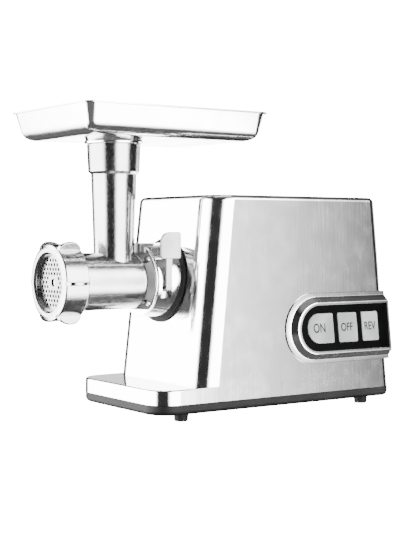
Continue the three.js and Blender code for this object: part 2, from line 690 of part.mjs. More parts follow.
function motorPinion() {
  const { teeth, direction } = GEARS.motor;
  const [y0, y1] = PLANE.first;
  const wheel = slabY(gearOutline(teeth, GEARS.first.module, gapTowards(direction, teeth)), y0, y1);
  return at(MOTOR_AXIS, cut(wheel, rod(2.5, y0 - 1, y1 + 1, 10)));
}

function gearPin(axis) {
  return at(axis, rod(4, CASE.front + CASE.wall + GAP, CASE.rear, 16));
}

function outputShaft() {
  const { radius, front, rear, socketDepth, socketRadius } = SHAFT;
  const socket = slabY(ringOutline(socketRadius, 6), front - 1, front + socketDepth);
  return at(OUTPUT_AXIS, cut(rod(radius, front, rear, 24), socket));
}

function outputBearing() {
  return onAxis(sleeve(BEARING.radius, SHAFT.bore, BEARING.front, BEARING.rear, 24));
}

function shaftSeal() {
  return onAxis(sleeve(BEARING.radius, SHAFT.bore, BEARING.front - 3.6, BEARING.front - GAP, 24));
}

function gearCase() {
  const { left, right, bottom, top, front, rear, wall, corner } = CASE;
  const outer = slabY(roundedBox(left, right, bottom, top, corner), front, rear);
  const inner = slabY(roundedBox(left + wall, right - wall, bottom + wall, top - wall, corner - wall),
    front + wall, rear + 1);
  const boss = onAxis(rod(22, BEARING.front - 4, front + 1, 28));
  const seat = onAxis(rod(BEARING.radius + GAP, BEARING.front - 5, front + wall + 1, 28));
  const legs = [box(-60, -48, front, rear, BASE.bottom + BASE.floor + GAP, bottom + 14),
    box(20, 32, front, rear, BASE.bottom + BASE.floor + GAP, bottom + 14)];
  return cut(join(cut(join(outer, ...legs), inner), boss), seat);
}

function gearCover() {
  const { left, right, bottom, top, rear, corner } = CASE;
  const plate = slabY(roundedBox(left, right, bottom, top, corner), rear + GAP, rear + 3);
  const shaftHole = onAxis(rod(SHAFT.bore, rear - 1, rear + 5, 24));
  const motorHole = at(MOTOR_AXIS, rod(7, rear - 1, rear + 5, 20));
  return cut(plate, shaftHole, motorHole);
}

// ---------- motor ----------

function motorStator() {
  const { halfWidth, halfHeight, front, rear, bore } = MOTOR;
  const block = slabY(roundedBox(-halfWidth, halfWidth, -halfHeight, halfHeight, 9, 9, 3), front, rear);
  const slots = [-1, 1].flatMap((side) => [-1, 1].map((level) => box(
    side > 0 ? 12 : -20, side > 0 ? 20 : -12, front - 1, rear + 1, level > 0 ? 12 : -27.5, level > 0 ? 27.5 : -12)));
  return at(MOTOR_AXIS, cut(block, rod(bore, front - 1, rear + 1, 28), ...slots));
}

// Field coil: a loop that runs through two slots and across both ends of the stack
function fieldCoil(level) {
  const { front, rear } = MOTOR;
  const loop = cut(box(-19.6, 19.6, front - 7, rear + 7, 21.6, 27),
    box(-12.4, 12.4, front - 0.6, rear + 0.6, 20, 28),
    rod(MOTOR.bore, front - 9, rear + 9, 28));
  if (level < 0) loop.rotateY(Math.PI);
  return at(MOTOR_AXIS, loop);
}

function motorRotor() {
  const { front, rear, core, shaft } = MOTOR;
  const profile = [
    [0, PLANE.first[0]], [2.2, PLANE.first[0]], [2.2, PLANE.first[1] + 1], [shaft, PLANE.first[1] + 1],
    [shaft, front - 7], [17, front - 5], [17, front], [core, front], [core, rear], [17, rear], [17, rear + 5],
    [shaft, rear + 7], [shaft, 63], [0, 63],
  ];
  return at(MOTOR_AXIS, turned(profile, 16));
}

function commutator() {
  const [y0, y1] = MOTOR.commutator;
  return at(MOTOR_AXIS, sleeve(MOTOR.commutatorRadius, MOTOR.shaft + GAP, y0, y1, 24));
}

function motorFan() {
  const [y0, y1] = MOTOR.fan;
  const disc = rod(MOTOR.fanRadius, y0, y0 + 1.6, 28);
  const hub = rod(9, y0, y1, 16);
  const blades = [];
  for (let i = 0; i < 8; i += 1) {
    blades.push(box(8, MOTOR.fanRadius - 1, y0 + 1, y1, -0.8, 0.8).rotateY((i * Math.PI) / 4));
  }
  return at(MOTOR_AXIS, cut(join(disc, hub, ...blades), rod(MOTOR.shaft + GAP, y0 - 1, y1 + 1, 14)));
}

function brushHolder(side) {
  const [y0, y1] = MOTOR.commutator;
  const inner = MOTOR.commutatorRadius + GAP;
  const holder = box(inner + 2, inner + 14, y0 + 1, y1 - 1, -6, 6);
  const carbon = box(inner, inner + 4, y0 + 3, y1 - 3, -3.5, 3.5);
  const arm = box(inner + 7, inner + 12, y1 - 2, MOTOR.bracket[0] - GAP, -5, 5);
  const whole = join(holder, carbon, arm);
  if (side < 0) whole.rotateY(Math.PI);
  return at(MOTOR_AXIS, whole);
}

function motorBracket() {
  const { halfWidth, bracket, rear, shaft } = MOTOR;
  const [y0, y1] = bracket;
  const bar = slabY(roundedBox(-halfWidth, halfWidth, -14, 14, 6, 6, 3), y0, y1);
  const posts = [-1, 1].map((side) => box(side > 0 ? 30 : -35.5, side > 0 ? 35.5 : -30, rear + GAP, y1, -10, 10));
  const hub = rod(10, y0 - 2, y1 + 4, 20);
  return at(MOTOR_AXIS, cut(join(bar, hub, ...posts), rod(shaft + GAP, y0 - 3, y1 + 5, 16)));
}

function motorCradle() {
  const top = MOTOR_AXIS.z - MOTOR.halfHeight - GAP;
  const floor = BASE.bottom + BASE.floor + GAP;
  const centre = MOTOR_AXIS.x;
  const foot = box(centre - 44, centre + 44, MOTOR.front, MOTOR.rear, floor, floor + 4);
  const walls = [-1, 1].map((side) => box(centre + side * 26 - 3, centre + side * 26 + 3,
    MOTOR.front, MOTOR.rear, floor + 3, top));
  const deck = box(centre - 30, centre + 30, MOTOR.front, MOTOR.rear, top - 4, top);
  return join(foot, ...walls, deck);
}

// ---------- button panel ----------

function panelLevel(out, front, half, rear) {
  return { z: out, outline: dOutline(front, half, rear, PANEL.rearSlope) };
}

// A loft along Z laid over so that its height points along X and its outline lies in Y-Z
function outward(geometry) {
  const turn = new THREE.Matrix4().makeBasis(
    new THREE.Vector3(0, 1, 0), new THREE.Vector3(0, 0, 1), new THREE.Vector3(1, 0, 0));
  return geometry.applyMatrix4(turn);
}

// Sloped chrome frame; its rear end reaches back round the housing's rear corner
function panelBezel() {
  const { front, half, slopeFront, slopeHalf, rimFront, rimHalf, faceFront, faceHalf, out, rear, facePlate } = PANEL;
  const body = onSide(outward(loft([
    panelLevel(-7, front, half, rear), panelLevel(1.4, front, half, rear),
    panelLevel(1.9, slopeFront, slopeHalf, rear), panelLevel(out, rimFront, rimHalf, rear),
  ])));
  const pocketOutline = dOutline(faceFront - 0.4, faceHalf + 0.4, rear - 2.6, PANEL.rearSlope);
  const pocket = onSide(slabX(pocketOutline, facePlate[0] - 0.4, out + 1));
  const opening = onSide(slabX(PANEL_WINDOW, -12, out + 1));
  return cut(body, housingBody(-GAP, HOUSING.bottom), pocket, opening);
}

function panelFace() {
  const { faceFront, faceHalf, facePlate, rear, rearSlope } = PANEL;
  const plate = slabX(dOutline(faceFront, faceHalf, rear - 3, rearSlope), ...facePlate);
  const holes = BUTTONS.map((button) => buttonSlab(button, 0.4, facePlate[0] - 1, facePlate[1] + 1));
  return onSide(cut(plate, ...holes));
}

function buttonSlab({ front, rear, round }, grow, x0, x1) {
  const half = BUTTON.half + grow;
  const corner = 2 + grow;
  const slope = PANEL.rearSlope;
  const leanIn = (points) => points.map((p) => new THREE.Vector2(p.x + slope * p.y, p.y));
  const outline = round
    ? leanIn([
      ...arc(rear + grow - corner, half - corner, corner, 0, 90, 2),
      ...arc(front - grow + half, 0, half, 90, 270, 12),
      ...arc(rear + grow - corner, -half + corner, corner, 270, 360, 2),
    ])
    : leanIn(roundedBox(front - grow, rear + grow, -half, half, corner, corner, 2));
  return slabX(outline, x0, x1);
}

function pushButton(button) {
  const cap = buttonSlab(button, 0, BUTTON.back, BUTTON.out);
  const centre = (button.front + button.rear) / 2;
  const { stem, stemEnd, back } = BUTTON;
  return onSide(join(cap, box(stemEnd, back + 1, centre - stem / 2, centre + stem / 2, -stem / 2, stem / 2)));
}

// Board behind the panel, with a switch under each button's stem
function controlBoard() {
  const { out, thick, front, rear, half } = BOARD;
  const board = box(out, out + thick, front, rear, -half, half);
  const capacitor = box(out - 14, out + 0.5, 100, 128, -12, 10);
  const relay = box(out - 12, out + 0.5, 30, 56, -10, 12);
  const switches = BUTTONS.flatMap((button) => {
    const centre = (button.front + button.rear) / 2;
    const face = out + thick;
    return [box(face - 0.5, face + 5, centre - 6, centre + 6, -6, 6),
      box(face + 4, face + 6.4, centre - 2, centre + 2, -2, 2)];
  });
  return onSide(join(board, capacitor, relay, ...switches));
}

// ---------- assembly ----------

const FINISH = {
  polished: { color: 0xd9dbdd, roughness: 0.2, metalness: 1 },
  brushed: { color: 0xc8cacc, roughness: 0.35, metalness: 1 },
  cast: { color: 0xb9bbbd, roughness: 0.42, metalness: 1 },
  chrome: { color: 0xe4e6e8, roughness: 0.1, metalness: 1 },
  steel: { color: 0xa5a8ab, roughness: 0.38, metalness: 1 },
  blackPlastic: { color: 0x17181a, roughness: 0.55, metalness: 0 },
  glossBlack: { color: 0x090a0b, roughness: 0.12, metalness: 0 },
  rubber: { color: 0x101113, roughness: 0.85, metalness: 0 },
  satinButton: { color: 0xc9cbcd, roughness: 0.4, metalness: 0.7 },
  nylon: { color: 0xe2ddd0, roughness: 0.6, metalness: 0 },
  copper: { color: 0xb66b3c, roughness: 0.4, metalness: 0.8 },
  brass: { color: 0xb59a52, roughness: 0.4, metalness: 1 },
  board: { color: 0x2f6b45, roughness: 0.6, metalness: 0 },
};

function part(name, geometry, finish) {
  const shape = geometry.index ? geometry.toNonIndexed() : geometry;
  shape.computeVertexNormals();
  const mesh = new THREE.Mesh(shape, new THREE.MeshStandardMaterial(FINISH[finish]));
  mesh.name = name;
  return mesh;
}

function baseGroup() {
  const group = new THREE.Group();
  group.add(part('housing_shell', housingShell(), 'brushed'));
  group.add(part('base_pan', basePan(), 'blackPlastic'));
  group.add(part('rear_grille', rearGrille(), 'blackPlastic'));
  group.add(part('mains_inlet', mainsInlet(), 'blackPlastic'));
  ['front_right', 'front_left', 'rear_right', 'rear_left'].forEach((place, i) => {
    const [x, y] = footPlaces()[i];
    group.add(part(`foot_${place}`, move(foot(), x, y, 0), 'rubber'));
    group.add(part(`foot_screw_${place}`, move(footScrew(), x, y, 0), 'steel'));
  });
  return group;
}

function outletGroup() {
  const group = new THREE.Group();
  group.add(part('outlet_collar', outletCollar(), 'chrome'));
  group.add(part('collar_gasket', collarGasket(), 'rubber'));
  group.add(part('release_lever', releaseLever(), 'chrome'));
  group.add(part('lever_pin', leverPin(), 'steel'));
  group.add(part('lever_spring', leverSpring(), 'steel'));
  return group;
}

function headGroup() {
  const group = new THREE.Group();
  group.add(part('head_casting', headCasting(), 'cast'));
  group.add(part('flange_ring', flangeRing(), 'polished'));
  BOLT.angles.forEach((angle, i) => group.add(part(`flange_screw_${i + 1}`, flangeScrew(angle), 'steel')));
  group.add(part('rear_bush', rearBush(), 'brass'));
  group.add(part('cutting_plate', cuttingPlate(), 'polished'));
  group.add(part('ring_nut', ringNut(), 'cast'));
  group.add(part('feed_screw', feedScrew(), 'cast'));
  group.add(part('thrust_washer', thrustWasher(), 'nylon'));
  group.add(part('knife_stud', knifeStud(), 'steel'));
  group.add(part('cross_knife', crossKnife(), 'steel'));
  group.add(part('drive_shank', driveShank(), 'steel'));
  group.add(part('food_tray', foodTray(), 'polished'));
  return group;
}

function driveGroup() {
  const group = new THREE.Group();
  group.add(part('gear_case', gearCase(), 'nylon'));
  group.add(part('gear_cover', gearCover(), 'nylon'));
  group.add(part('output_bearing', outputBearing(), 'brass'));
  group.add(part('shaft_seal', shaftSeal(), 'rubber'));
  group.add(part('output_shaft', outputShaft(), 'steel'));
  group.add(part('output_gear', outputGear(), 'steel'));
  group.add(part('second_gear', secondGear(), 'nylon'));
  group.add(part('second_gear_pin', gearPin(SECOND_AXIS), 'steel'));
  group.add(part('first_gear', firstGear(), 'nylon'));
  group.add(part('first_gear_pin', gearPin(FIRST_AXIS), 'steel'));
  return group;
}

function motorGroup() {
  const group = new THREE.Group();
  group.add(part('motor_stator', motorStator(), 'steel'));
  group.add(part('field_coil_upper', fieldCoil(1), 'copper'));
  group.add(part('field_coil_lower', fieldCoil(-1), 'copper'));
  group.add(part('motor_rotor', motorRotor(), 'steel'));
  group.add(part('motor_pinion', motorPinion(), 'steel'));
  group.add(part('motor_fan', motorFan(), 'nylon'));
  group.add(part('commutator', commutator(), 'copper'));
  group.add(part('brush_holder_right', brushHolder(1), 'brass'));
  group.add(part('brush_holder_left', brushHolder(-1), 'brass'));
  group.add(part('motor_bracket', motorBracket(), 'steel'));
  group.add(part('motor_cradle', motorCradle(), 'blackPlastic'));
  return group;
}

function panelGroup() {
  const group = new THREE.Group();
  group.add(part('panel_bezel', panelBezel(), 'chrome'));
  group.add(part('panel_face', panelFace(), 'glossBlack'));
  group.add(part('control_board', controlBoard(), 'board'));
  for (const button of BUTTONS) group.add(part(`${button.name}_button`, pushButton(button), 'satinButton'));
  return group;
}

const grinder = new THREE.Group();
const assembly = new THREE.Group();
assembly.add(baseGroup(), outletGroup(), headGroup(), driveGroup(), motorGroup(), panelGroup());

// The origin lies under the middle of the whole object, on the surface that it stands on.
const bounds = new THREE.Box3().setFromObject(assembly);
const middle = bounds.getCenter(new THREE.Vector3());
assembly.position.set(-middle.x, -middle.y, -bounds.min.z);
grinder.add(assembly);

export default grinder;
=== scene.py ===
# Electric meat grinder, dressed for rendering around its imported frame.
# Piece sizes are in millimetres from the middle of the base; addPiece turns them into metres.
import math
import bpy
import bmesh
from mathutils import Matrix, Vector


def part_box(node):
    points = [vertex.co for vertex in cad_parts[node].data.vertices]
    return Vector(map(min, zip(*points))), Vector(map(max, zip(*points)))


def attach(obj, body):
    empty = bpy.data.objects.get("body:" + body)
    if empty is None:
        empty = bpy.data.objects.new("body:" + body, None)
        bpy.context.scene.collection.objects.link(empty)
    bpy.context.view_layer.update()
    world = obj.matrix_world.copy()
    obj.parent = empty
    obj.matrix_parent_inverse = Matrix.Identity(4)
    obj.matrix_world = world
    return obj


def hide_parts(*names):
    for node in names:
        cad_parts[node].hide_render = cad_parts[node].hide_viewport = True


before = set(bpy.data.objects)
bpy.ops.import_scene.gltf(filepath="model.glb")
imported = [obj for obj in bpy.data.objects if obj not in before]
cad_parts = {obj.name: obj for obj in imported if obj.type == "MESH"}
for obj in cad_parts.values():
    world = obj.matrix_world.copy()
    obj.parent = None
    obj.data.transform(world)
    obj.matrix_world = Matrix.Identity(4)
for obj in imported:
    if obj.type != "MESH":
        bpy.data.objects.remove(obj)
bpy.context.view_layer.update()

shellLow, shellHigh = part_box("housing_shell")
shelfFront = -163.0
datum = Vector(((shellLow.x + shellHigh.x) / 2, shellLow.y - shelfFront / 1000, 0))
axisZ = (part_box("output_shaft")[0].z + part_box("output_shaft")[1].z) * 500
print("frame loaded,", len(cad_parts), "nodes")


# ---- shader maths -------------------------------------------------------
class Value:
    def __init__(self, maker, socket):
        self.maker = maker
        self.socket = socket

    def maths(self, operation, *others):
        return self.maker.node("ShaderNodeMath", {"operation": operation}, dict(enumerate((self, *others))))

    def __add__(self, other): return self.maths("ADD", other)
    __radd__ = __add__
    def __mul__(self, other): return self.maths("MULTIPLY", other)
    __rmul__ = __mul__
    def __sub__(self, other): return self.maths("SUBTRACT", other)
    def __rsub__(self, other): return self.maker.node(
        "ShaderNodeMath", {"operation": "SUBTRACT"}, {0: other, 1: self})
    def __truediv__(self, other): return self.maths("DIVIDE", other)
    def __pow__(self, other): return self.maths("POWER", other)

    def between(self, low, high, start=0.0, end=1.0):
        return self.maker.node("ShaderNodeMapRange", {"interpolation_type": "SMOOTHSTEP"},
            {"Value": self, "From Min": low, "From Max": high, "To Min": start, "To Max": end})


class Maker:
    def __init__(self, tree):
        self.tree = tree

    def node(self, kind, settings=None, sockets=None, out=0):
        made = self.tree.nodes.new(kind)
        for key, value in (settings or {}).items():
            if key == "stops":
                ramp = made.color_ramp.elements
                while len(ramp) < len(value):
                    ramp.new(0.5)
                for element, (place, colour) in zip(ramp, value):
                    element.position = place
                    element.color = (*colour, 1)
            else:
                setattr(made, key, value)
        for key, value in (sockets or {}).items():
            target = made.inputs[key]
            if isinstance(value, Value):
                self.tree.links.new(value.socket, target)
            else:
                target.default_value = value
        return Value(self, made.outputs[out]) if made.outputs else None

    def mix(self, share, low, high):
        made = self.node("ShaderNodeMix", {"data_type": "RGBA"}, {0: share}, 2)
        for index, value in ((6, low), (7, high)):
            target = made.socket.node.inputs[index]
            if isinstance(value, Value):
                self.tree.links.new(value.socket, target)
            else:
                target.default_value = (*value, 1)
        return made

    def place(self, scale=(1, 1, 1), turn=(0, 0, 0)):
        where = self.node("ShaderNodeTexCoord", out=3)
        return self.node("ShaderNodeMapping", {}, {"Vector": where, "Scale": scale, "Rotation": turn})

    def noise(self, scale, detail=3.0, stretch=(1, 1, 1), roughness=0.5):
        return self.node("ShaderNodeTexNoise", {}, {"Vector": self.place(stretch), "Scale": scale,
            "Detail": detail, "Roughness": roughness})


def finish(name, build):
    material = bpy.data.materials.new(name)
    material.use_nodes = True
    tree = material.node_tree
    tree.nodes.clear()
    maker = Maker(tree)
    shader = maker.node("ShaderNodeBsdfPrincipled", {}, build(maker))
    maker.node("ShaderNodeOutputMaterial", {}, {"Surface": shader})
    return material


def bump(maker, height, strength, distance=0.001):
    return maker.node("ShaderNodeBump", {}, {"Height": height, "Strength": strength, "Distance": distance})


def brushed(tone, roughness, stretch, grain=0.05, tint=(1, 1, 1.01)):
    def build(maker):
        lines = maker.noise(900, 2, stretch)
        patches = maker.noise(14, 3)
        smudge = maker.noise(55, 4, roughness=0.6)
        shade = lines.between(0.3, 0.7, -0.02, 0.02) + patches.between(0.3, 0.7, -0.012, 0.012)
        low = [min(1, (tone - 0.04) * c) for c in tint]
        high = [min(1, (tone + 0.04) * c) for c in tint]
        return {
            "Base Color": maker.mix(shade + 0.5, low, high),
            "Metallic": 1.0,
            "Roughness": smudge.between(0.3, 0.75, roughness - 0.03, roughness + 0.04)
                + lines.between(0.3, 0.7, -0.015, 0.015),
            "Normal": bump(maker, lines, grain, 0.0004),
        }
    return build


def cast(tone, roughness):
    def build(maker):
        pits = maker.noise(420, 4, roughness=0.65)
        clouds = maker.noise(38, 3)
        return {
            "Base Color": maker.mix(clouds.between(0.3, 0.7), [tone - 0.05] * 3, [tone + 0.02] * 3),
            "Metallic": 1.0,
            "Roughness": pits.between(0.35, 0.7, roughness - 0.05, roughness + 0.06),
            "Normal": bump(maker, pits + clouds * 1.5, 0.12, 0.0006),
        }
    return build


def plated(tone, roughness):
    def build(maker):
        haze = maker.noise(60, 4)
        return {
            "Base Color": maker.mix(haze.between(0.35, 0.7), [tone - 0.02] * 3,
                [tone, tone, min(1, tone + 0.01)]),
            "Metallic": 1.0,
            "Roughness": haze.between(0.35, 0.75, roughness, roughness + 0.04),
            "Normal": bump(maker, maker.noise(9, 2), 0.02, 0.001),
        }
    return build


def moulded(colour, roughness, texture=0.15, scale=1400, shine=0.5):
    def build(maker):
        skin = maker.noise(scale, 3, roughness=0.6)
        wear = maker.noise(26, 4)
        dark = [c * 0.8 for c in colour]
        light = [min(1, c * 1.25 + 0.003) for c in colour]
        return {
            "Base Color": maker.mix(wear.between(0.35, 0.7), dark, light),
            "Roughness": wear.between(0.3, 0.75, roughness - 0.04, roughness + 0.06),
            "Specular IOR Level": shine,
            "Normal": bump(maker, skin, texture, 0.0004),
        }
    return build


def glossy(colour, roughness=0.08, shine=0.08):
    def build(maker):
        haze = maker.noise(40, 4)
        return {
            "Base Color": maker.mix(haze.between(0.3, 0.7), colour, [c * 1.3 for c in colour]),
            "Roughness": haze.between(0.35, 0.8, roughness, roughness + 0.05),
            "Specular IOR Level": shine,
            "Normal": bump(maker, maker.noise(12, 2), 0.015, 0.001),
        }
    return build


def windings(colour):
    def build(maker):
        wires = maker.node("ShaderNodeTexWave", {"bands_direction": "X"},
            {"Vector": maker.place(), "Scale": 900, "Distortion": 0.6, "Detail": 1})
        return {
            "Base Color": maker.mix(wires, [c * 0.45 for c in colour], colour),
            "Metallic": 0.8,
            "Roughness": wires.between(0, 1, 0.5, 0.3),
            "Normal": bump(maker, wires, 0.6, 0.0006),
        }
    return build


materials = {
    "housingSteel": finish("housingSteel", brushed(0.86, 0.1, (1, 1, 0.02))),
    "traySteel": finish("traySteel", brushed(0.9, 0.13, (1, 0.03, 1), 0.03)),
    "headMetal": finish("headMetal", cast(0.42, 0.18)),
    "tubeMetal": finish("tubeMetal", plated(0.88, 0.12)),
    "nutMetal": finish("nutMetal", cast(0.46, 0.18)),
    "roughCast": finish("roughCast", cast(0.2, 0.42)),
    "leverMetal": finish("leverMetal", cast(0.34, 0.4)),
    # Near-black paint for the cutting plate's hole walls: painted shade, not the steel's own colour
    "paintedHoleShade": finish("paintedHoleShade", moulded((0.003, 0.003, 0.003), 0.8, shine=0.03)),
    "chrome": finish("chrome", plated(0.9, 0.08)),
    "plateSteel": finish("plateSteel", brushed(0.3, 0.25, (0.2, 1, 1))),
    "screwSteel": finish("screwSteel", brushed(0.62, 0.28, (1, 0.2, 1))),
    "blackPlastic": finish("blackPlastic", moulded((0.004, 0.004, 0.0042), 0.5, shine=0.1)),
    "faceBlack": finish("faceBlack", glossy((0.0015, 0.0015, 0.0017))),
    "rubber": finish("rubber", moulded((0.0045, 0.0045, 0.0045), 0.7, 0.3, 900, 0.12)),
    "buttonSilver": finish("buttonSilver", moulded((0.24, 0.243, 0.246), 0.4, 0.04, shine=0.12)),
    "labelGrey": finish("labelGrey", moulded((0.005, 0.005, 0.0054), 0.6, 0.02, shine=0.05)),
    "nylon": finish("nylon", moulded((0.7, 0.67, 0.58), 0.5)),
    "copper": finish("copper", windings((0.72, 0.33, 0.15))),
    "bronze": finish("bronze", cast(0.55, 0.35)),
    "board": finish("board", moulded((0.03, 0.16, 0.07), 0.4, 0.3, 500)),
}
print("materials made:", len(materials))


# ---- mesh helpers -------------------------------------------------------
def addPiece(name, mesh, material, body, nodes=(), sharp=32, extra=()):
    bmesh.ops.remove_doubles(mesh, verts=mesh.verts, dist=0.002)
    bmesh.ops.dissolve_degenerate(mesh, edges=mesh.edges, dist=0.0005)
    bmesh.ops.recalc_face_normals(mesh, faces=mesh.faces)
    for face in mesh.faces:
        face.smooth = True
    for edge in mesh.edges:
        edge.smooth = len(edge.link_faces) == 2 and edge.calc_face_angle(0) < math.radians(sharp)
    bmesh.ops.scale(mesh, vec=(0.001, 0.001, 0.001), verts=mesh.verts)
    bmesh.ops.translate(mesh, vec=datum, verts=mesh.verts)
    data = bpy.data.meshes.new(name)
    mesh.to_mesh(data)
    mesh.free()
    piece = bpy.data.objects.new(name, data)
    bpy.context.scene.collection.objects.link(piece)
    for entry in (material, *extra):
        data.materials.append(materials[entry])
    shading = piece.modifiers.new("weighted", "WEIGHTED_NORMAL")
    shading.keep_sharp = True
    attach(piece, body)
    if nodes:
        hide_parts(*nodes)
    return piece


def modified(mesh, *steps):
    data = bpy.data.meshes.new("working")
    mesh.to_mesh(data)
    mesh.free()
    work = bpy.data.objects.new("working", data)
    bpy.context.scene.collection.objects.link(work)
    others = []
    for kind, settings in steps:
        step = work.modifiers.new(kind.lower(), kind)
        for key, value in settings.items():
            if isinstance(value, bmesh.types.BMesh):
                otherData = bpy.data.meshes.new("tool")
                bmesh.ops.recalc_face_normals(value, faces=value.faces)
                value.to_mesh(otherData)
                value.free()
                value = bpy.data.objects.new("tool", otherData)
                bpy.context.scene.collection.objects.link(value)
                others.append(value)
            setattr(step, key, value)
    bpy.context.view_layer.update()
    result = bpy.data.meshes.new_from_object(work.evaluated_get(bpy.context.evaluated_depsgraph_get()))
    made = bmesh.new()
    made.from_mesh(result)
    for thing in (work, *others):
        bpy.data.objects.remove(thing, do_unlink=True)
    return made


def carve(mesh, *tools):
    for tool in tools:
        mesh = modified(mesh, ("BOOLEAN", {"operation": "DIFFERENCE", "solver": "EXACT", "object": tool}))
    return mesh


def unite(mesh, *tools):
    for tool in tools:
        mesh = modified(mesh, ("BOOLEAN", {"operation": "UNION", "solver": "EXACT", "object": tool}))
    return mesh


def gather(*meshes):
    first = meshes[0]
    for other in meshes[1:]:
        data = bpy.data.meshes.new("part")
        other.to_mesh(data)
        other.free()
        first.from_mesh(data)
    return first


def bevel(mesh, edges, offset, segments=3):
    edges = list(edges)
    if edges:
        bmesh.ops.bevel(mesh, geom=edges, offset=offset, offset_type="OFFSET", segments=segments,
            profile=0.5, affect="EDGES", material=-1, clamp_overlap=True)


# Corner points with an optional third number, the radius that rounds them
def rounded(points, loop=True, steps=4):
    made = []
    count = len(points)
    for index, point in enumerate(points):
        here = Vector(point[:2])
        radius = point[2] if len(point) > 2 else 0
        if radius <= 0 or (not loop and index in (0, count - 1)):
            made.append(here)
            continue
        before = (Vector(points[index - 1][:2]) - here)
        after = (Vector(points[(index + 1) % count][:2]) - here)
        angle = before.angle(after) / 2
        reach = min(radius / math.tan(angle), before.length * 0.49, after.length * 0.49)
        start = here + before.normalized() * reach
        end = here + after.normalized() * reach
        for step in range(steps + 1):
            t = step / steps
            made.append(start * (1 - t) ** 2 + here * 2 * t * (1 - t) + end * t ** 2)
    return made


# A profile of (radius, height) turned about a line through the centre, along Y or Z
def spun(profile, along="Y", centre=(0, 0, 0), turns=96, steps=4):
    loop = not (profile[0][0] == 0 and profile[-1][0] == 0)
    points = rounded(profile, loop, steps)
    mesh = bmesh.new()
    verts = [mesh.verts.new((r, h, 0) if along == "Y" else (r, 0, h)) for r, h in points]
    pairs = list(zip(verts, verts[1:] + (verts[:1] if loop else [])))
    edges = [mesh.edges.new(pair) for pair in pairs]
    axis = (0, 1, 0) if along == "Y" else (0, 0, 1)
    bmesh.ops.spin(mesh, geom=verts + edges, cent=(0, 0, 0), axis=axis, dvec=(0, 0, 0),
        angle=math.tau, steps=turns, use_merge=True)
    bmesh.ops.remove_doubles(mesh, verts=mesh.verts, dist=0.001)
    bmesh.ops.recalc_face_normals(mesh, faces=mesh.faces)
    bmesh.ops.translate(mesh, vec=centre, verts=mesh.verts)
    return mesh


def rod(radius, start, end, along="Y", centre=(0, 0, 0), turns=48):
    return spun([(0, start), (radius, start), (radius, end), (0, end)], along, centre, turns)


def block(x0, x1, y0, y1, z0, z1, edge=0, segments=3):
    mesh = bmesh.new()
    bmesh.ops.create_cube(mesh, size=1)
    bmesh.ops.scale(mesh, vec=(x1 - x0, y1 - y0, z1 - z0), verts=mesh.verts)
    bmesh.ops.translate(mesh, vec=((x0 + x1) / 2, (y0 + y1) / 2, (z0 + z1) / 2), verts=mesh.verts)
    if edge:
        bevel(mesh, mesh.edges, edge, segments)
    return mesh


# A flat outline given depth: drawn in X-Z for "Y", in Y-Z for "X", in X-Y for "Z"
def slab(points, along, start, end, edge=0, segments=3):
    mesh = bmesh.new()
    place = {"X": lambda a, b: (start, a, b), "Y": lambda a, b: (a, start, b), "Z": lambda a, b: (a, b, start)}
    face = mesh.faces.new([mesh.verts.new(place[along](*point)) for point in points])
    made = bmesh.ops.extrude_face_region(mesh, geom=[face])
    step = Vector([end - start if along == name else 0 for name in "XYZ"])
    bmesh.ops.translate(mesh, vec=step, verts=[v for v in made["geom"] if isinstance(v, bmesh.types.BMVert)])
    bmesh.ops.recalc_face_normals(mesh, faces=mesh.faces)
    if edge:
        index = "XYZ".index(along)
        rims = [e for e in mesh.edges if abs(e.verts[0].co[index] - e.verts[1].co[index]) < 1e-4]
        bevel(mesh, rims, edge, segments)
    return mesh


# Closed outlines with equal point counts, joined one to the next and capped at both ends
def loft(outlines):
    mesh = bmesh.new()
    loops = []
    for outline in outlines:
        verts = [mesh.verts.new(point) for point in outline]
        loops.append([mesh.edges.new(pair) for pair in zip(verts, verts[1:] + verts[:1])])
    for lower, upper in zip(loops, loops[1:]):
        bmesh.ops.bridge_loops(mesh, edges=lower + upper)
    for loop in (loops[0], loops[-1]):
        bmesh.ops.contextual_create(mesh, geom=loop)
    bmesh.ops.recalc_face_normals(mesh, faces=mesh.faces)
    return mesh


def ring(radius, count=48, x=0, y=0):
    return [Vector((x + radius * math.cos(math.tau * i / count), y + radius * math.sin(math.tau * i / count)))
        for i in range(count)]


def roundedBox(x0, x1, y0, y1, low, high=None, steps=8):
    high = low if high is None else high
    corners = [(x0, y0, low, 180), (x1, y0, low, 270), (x1, y1, high, 0), (x0, y1, high, 90)]
    points = []
    for x, y, radius, start in corners:
        middle = Vector((x + radius if x == x0 else x - radius, y + radius if y == y0 else y - radius))
        for step in range(steps + 1):
            angle = math.radians(start + 90 * step / steps)
            points.append(middle + Vector((math.cos(angle), math.sin(angle))) * radius)
    return points


# ---- housing and base ---------------------------------------------------
housing = {
    "halfWidth": 86.5, "sideLean": 2.5, "front": -115.4, "frontLean": 24.2, "rear": 162.0, "rearLean": 21.7,
    "bottom": 21.0, "top": 241.0, "shelfTop": 37.0, "frontCorner": 28, "rearCorner": 12, "topRound": 6,
    "shelfRound": 2.2, "sheet": 1.1, "outlet": 38.0,
}


def leanAt(amount, z):
    return amount * (z - housing["bottom"]) / (housing["top"] - housing["bottom"])


def sideAt(z):
    return housing["halfWidth"] - leanAt(housing["sideLean"], z)


def frontAt(z):
    return housing["front"] + leanAt(housing["frontLean"], z)


def rearAt(z):
    return housing["rear"] - leanAt(housing["rearLean"], z)


sideTilt = math.atan(housing["sideLean"] / (housing["top"] - housing["bottom"]))
frontTilt = math.atan(housing["frontLean"] / (housing["top"] - housing["bottom"]))
rearTilt = math.atan(housing["rearLean"] / (housing["top"] - housing["bottom"]))
panelZ = 93.3


def onSide(mesh):
    bmesh.ops.rotate(mesh, cent=(0, 0, 0), matrix=Matrix.Rotation(-sideTilt, 3, "Y"), verts=mesh.verts)
    bmesh.ops.translate(mesh, vec=(sideAt(panelZ), 0, panelZ), verts=mesh.verts)
    return mesh


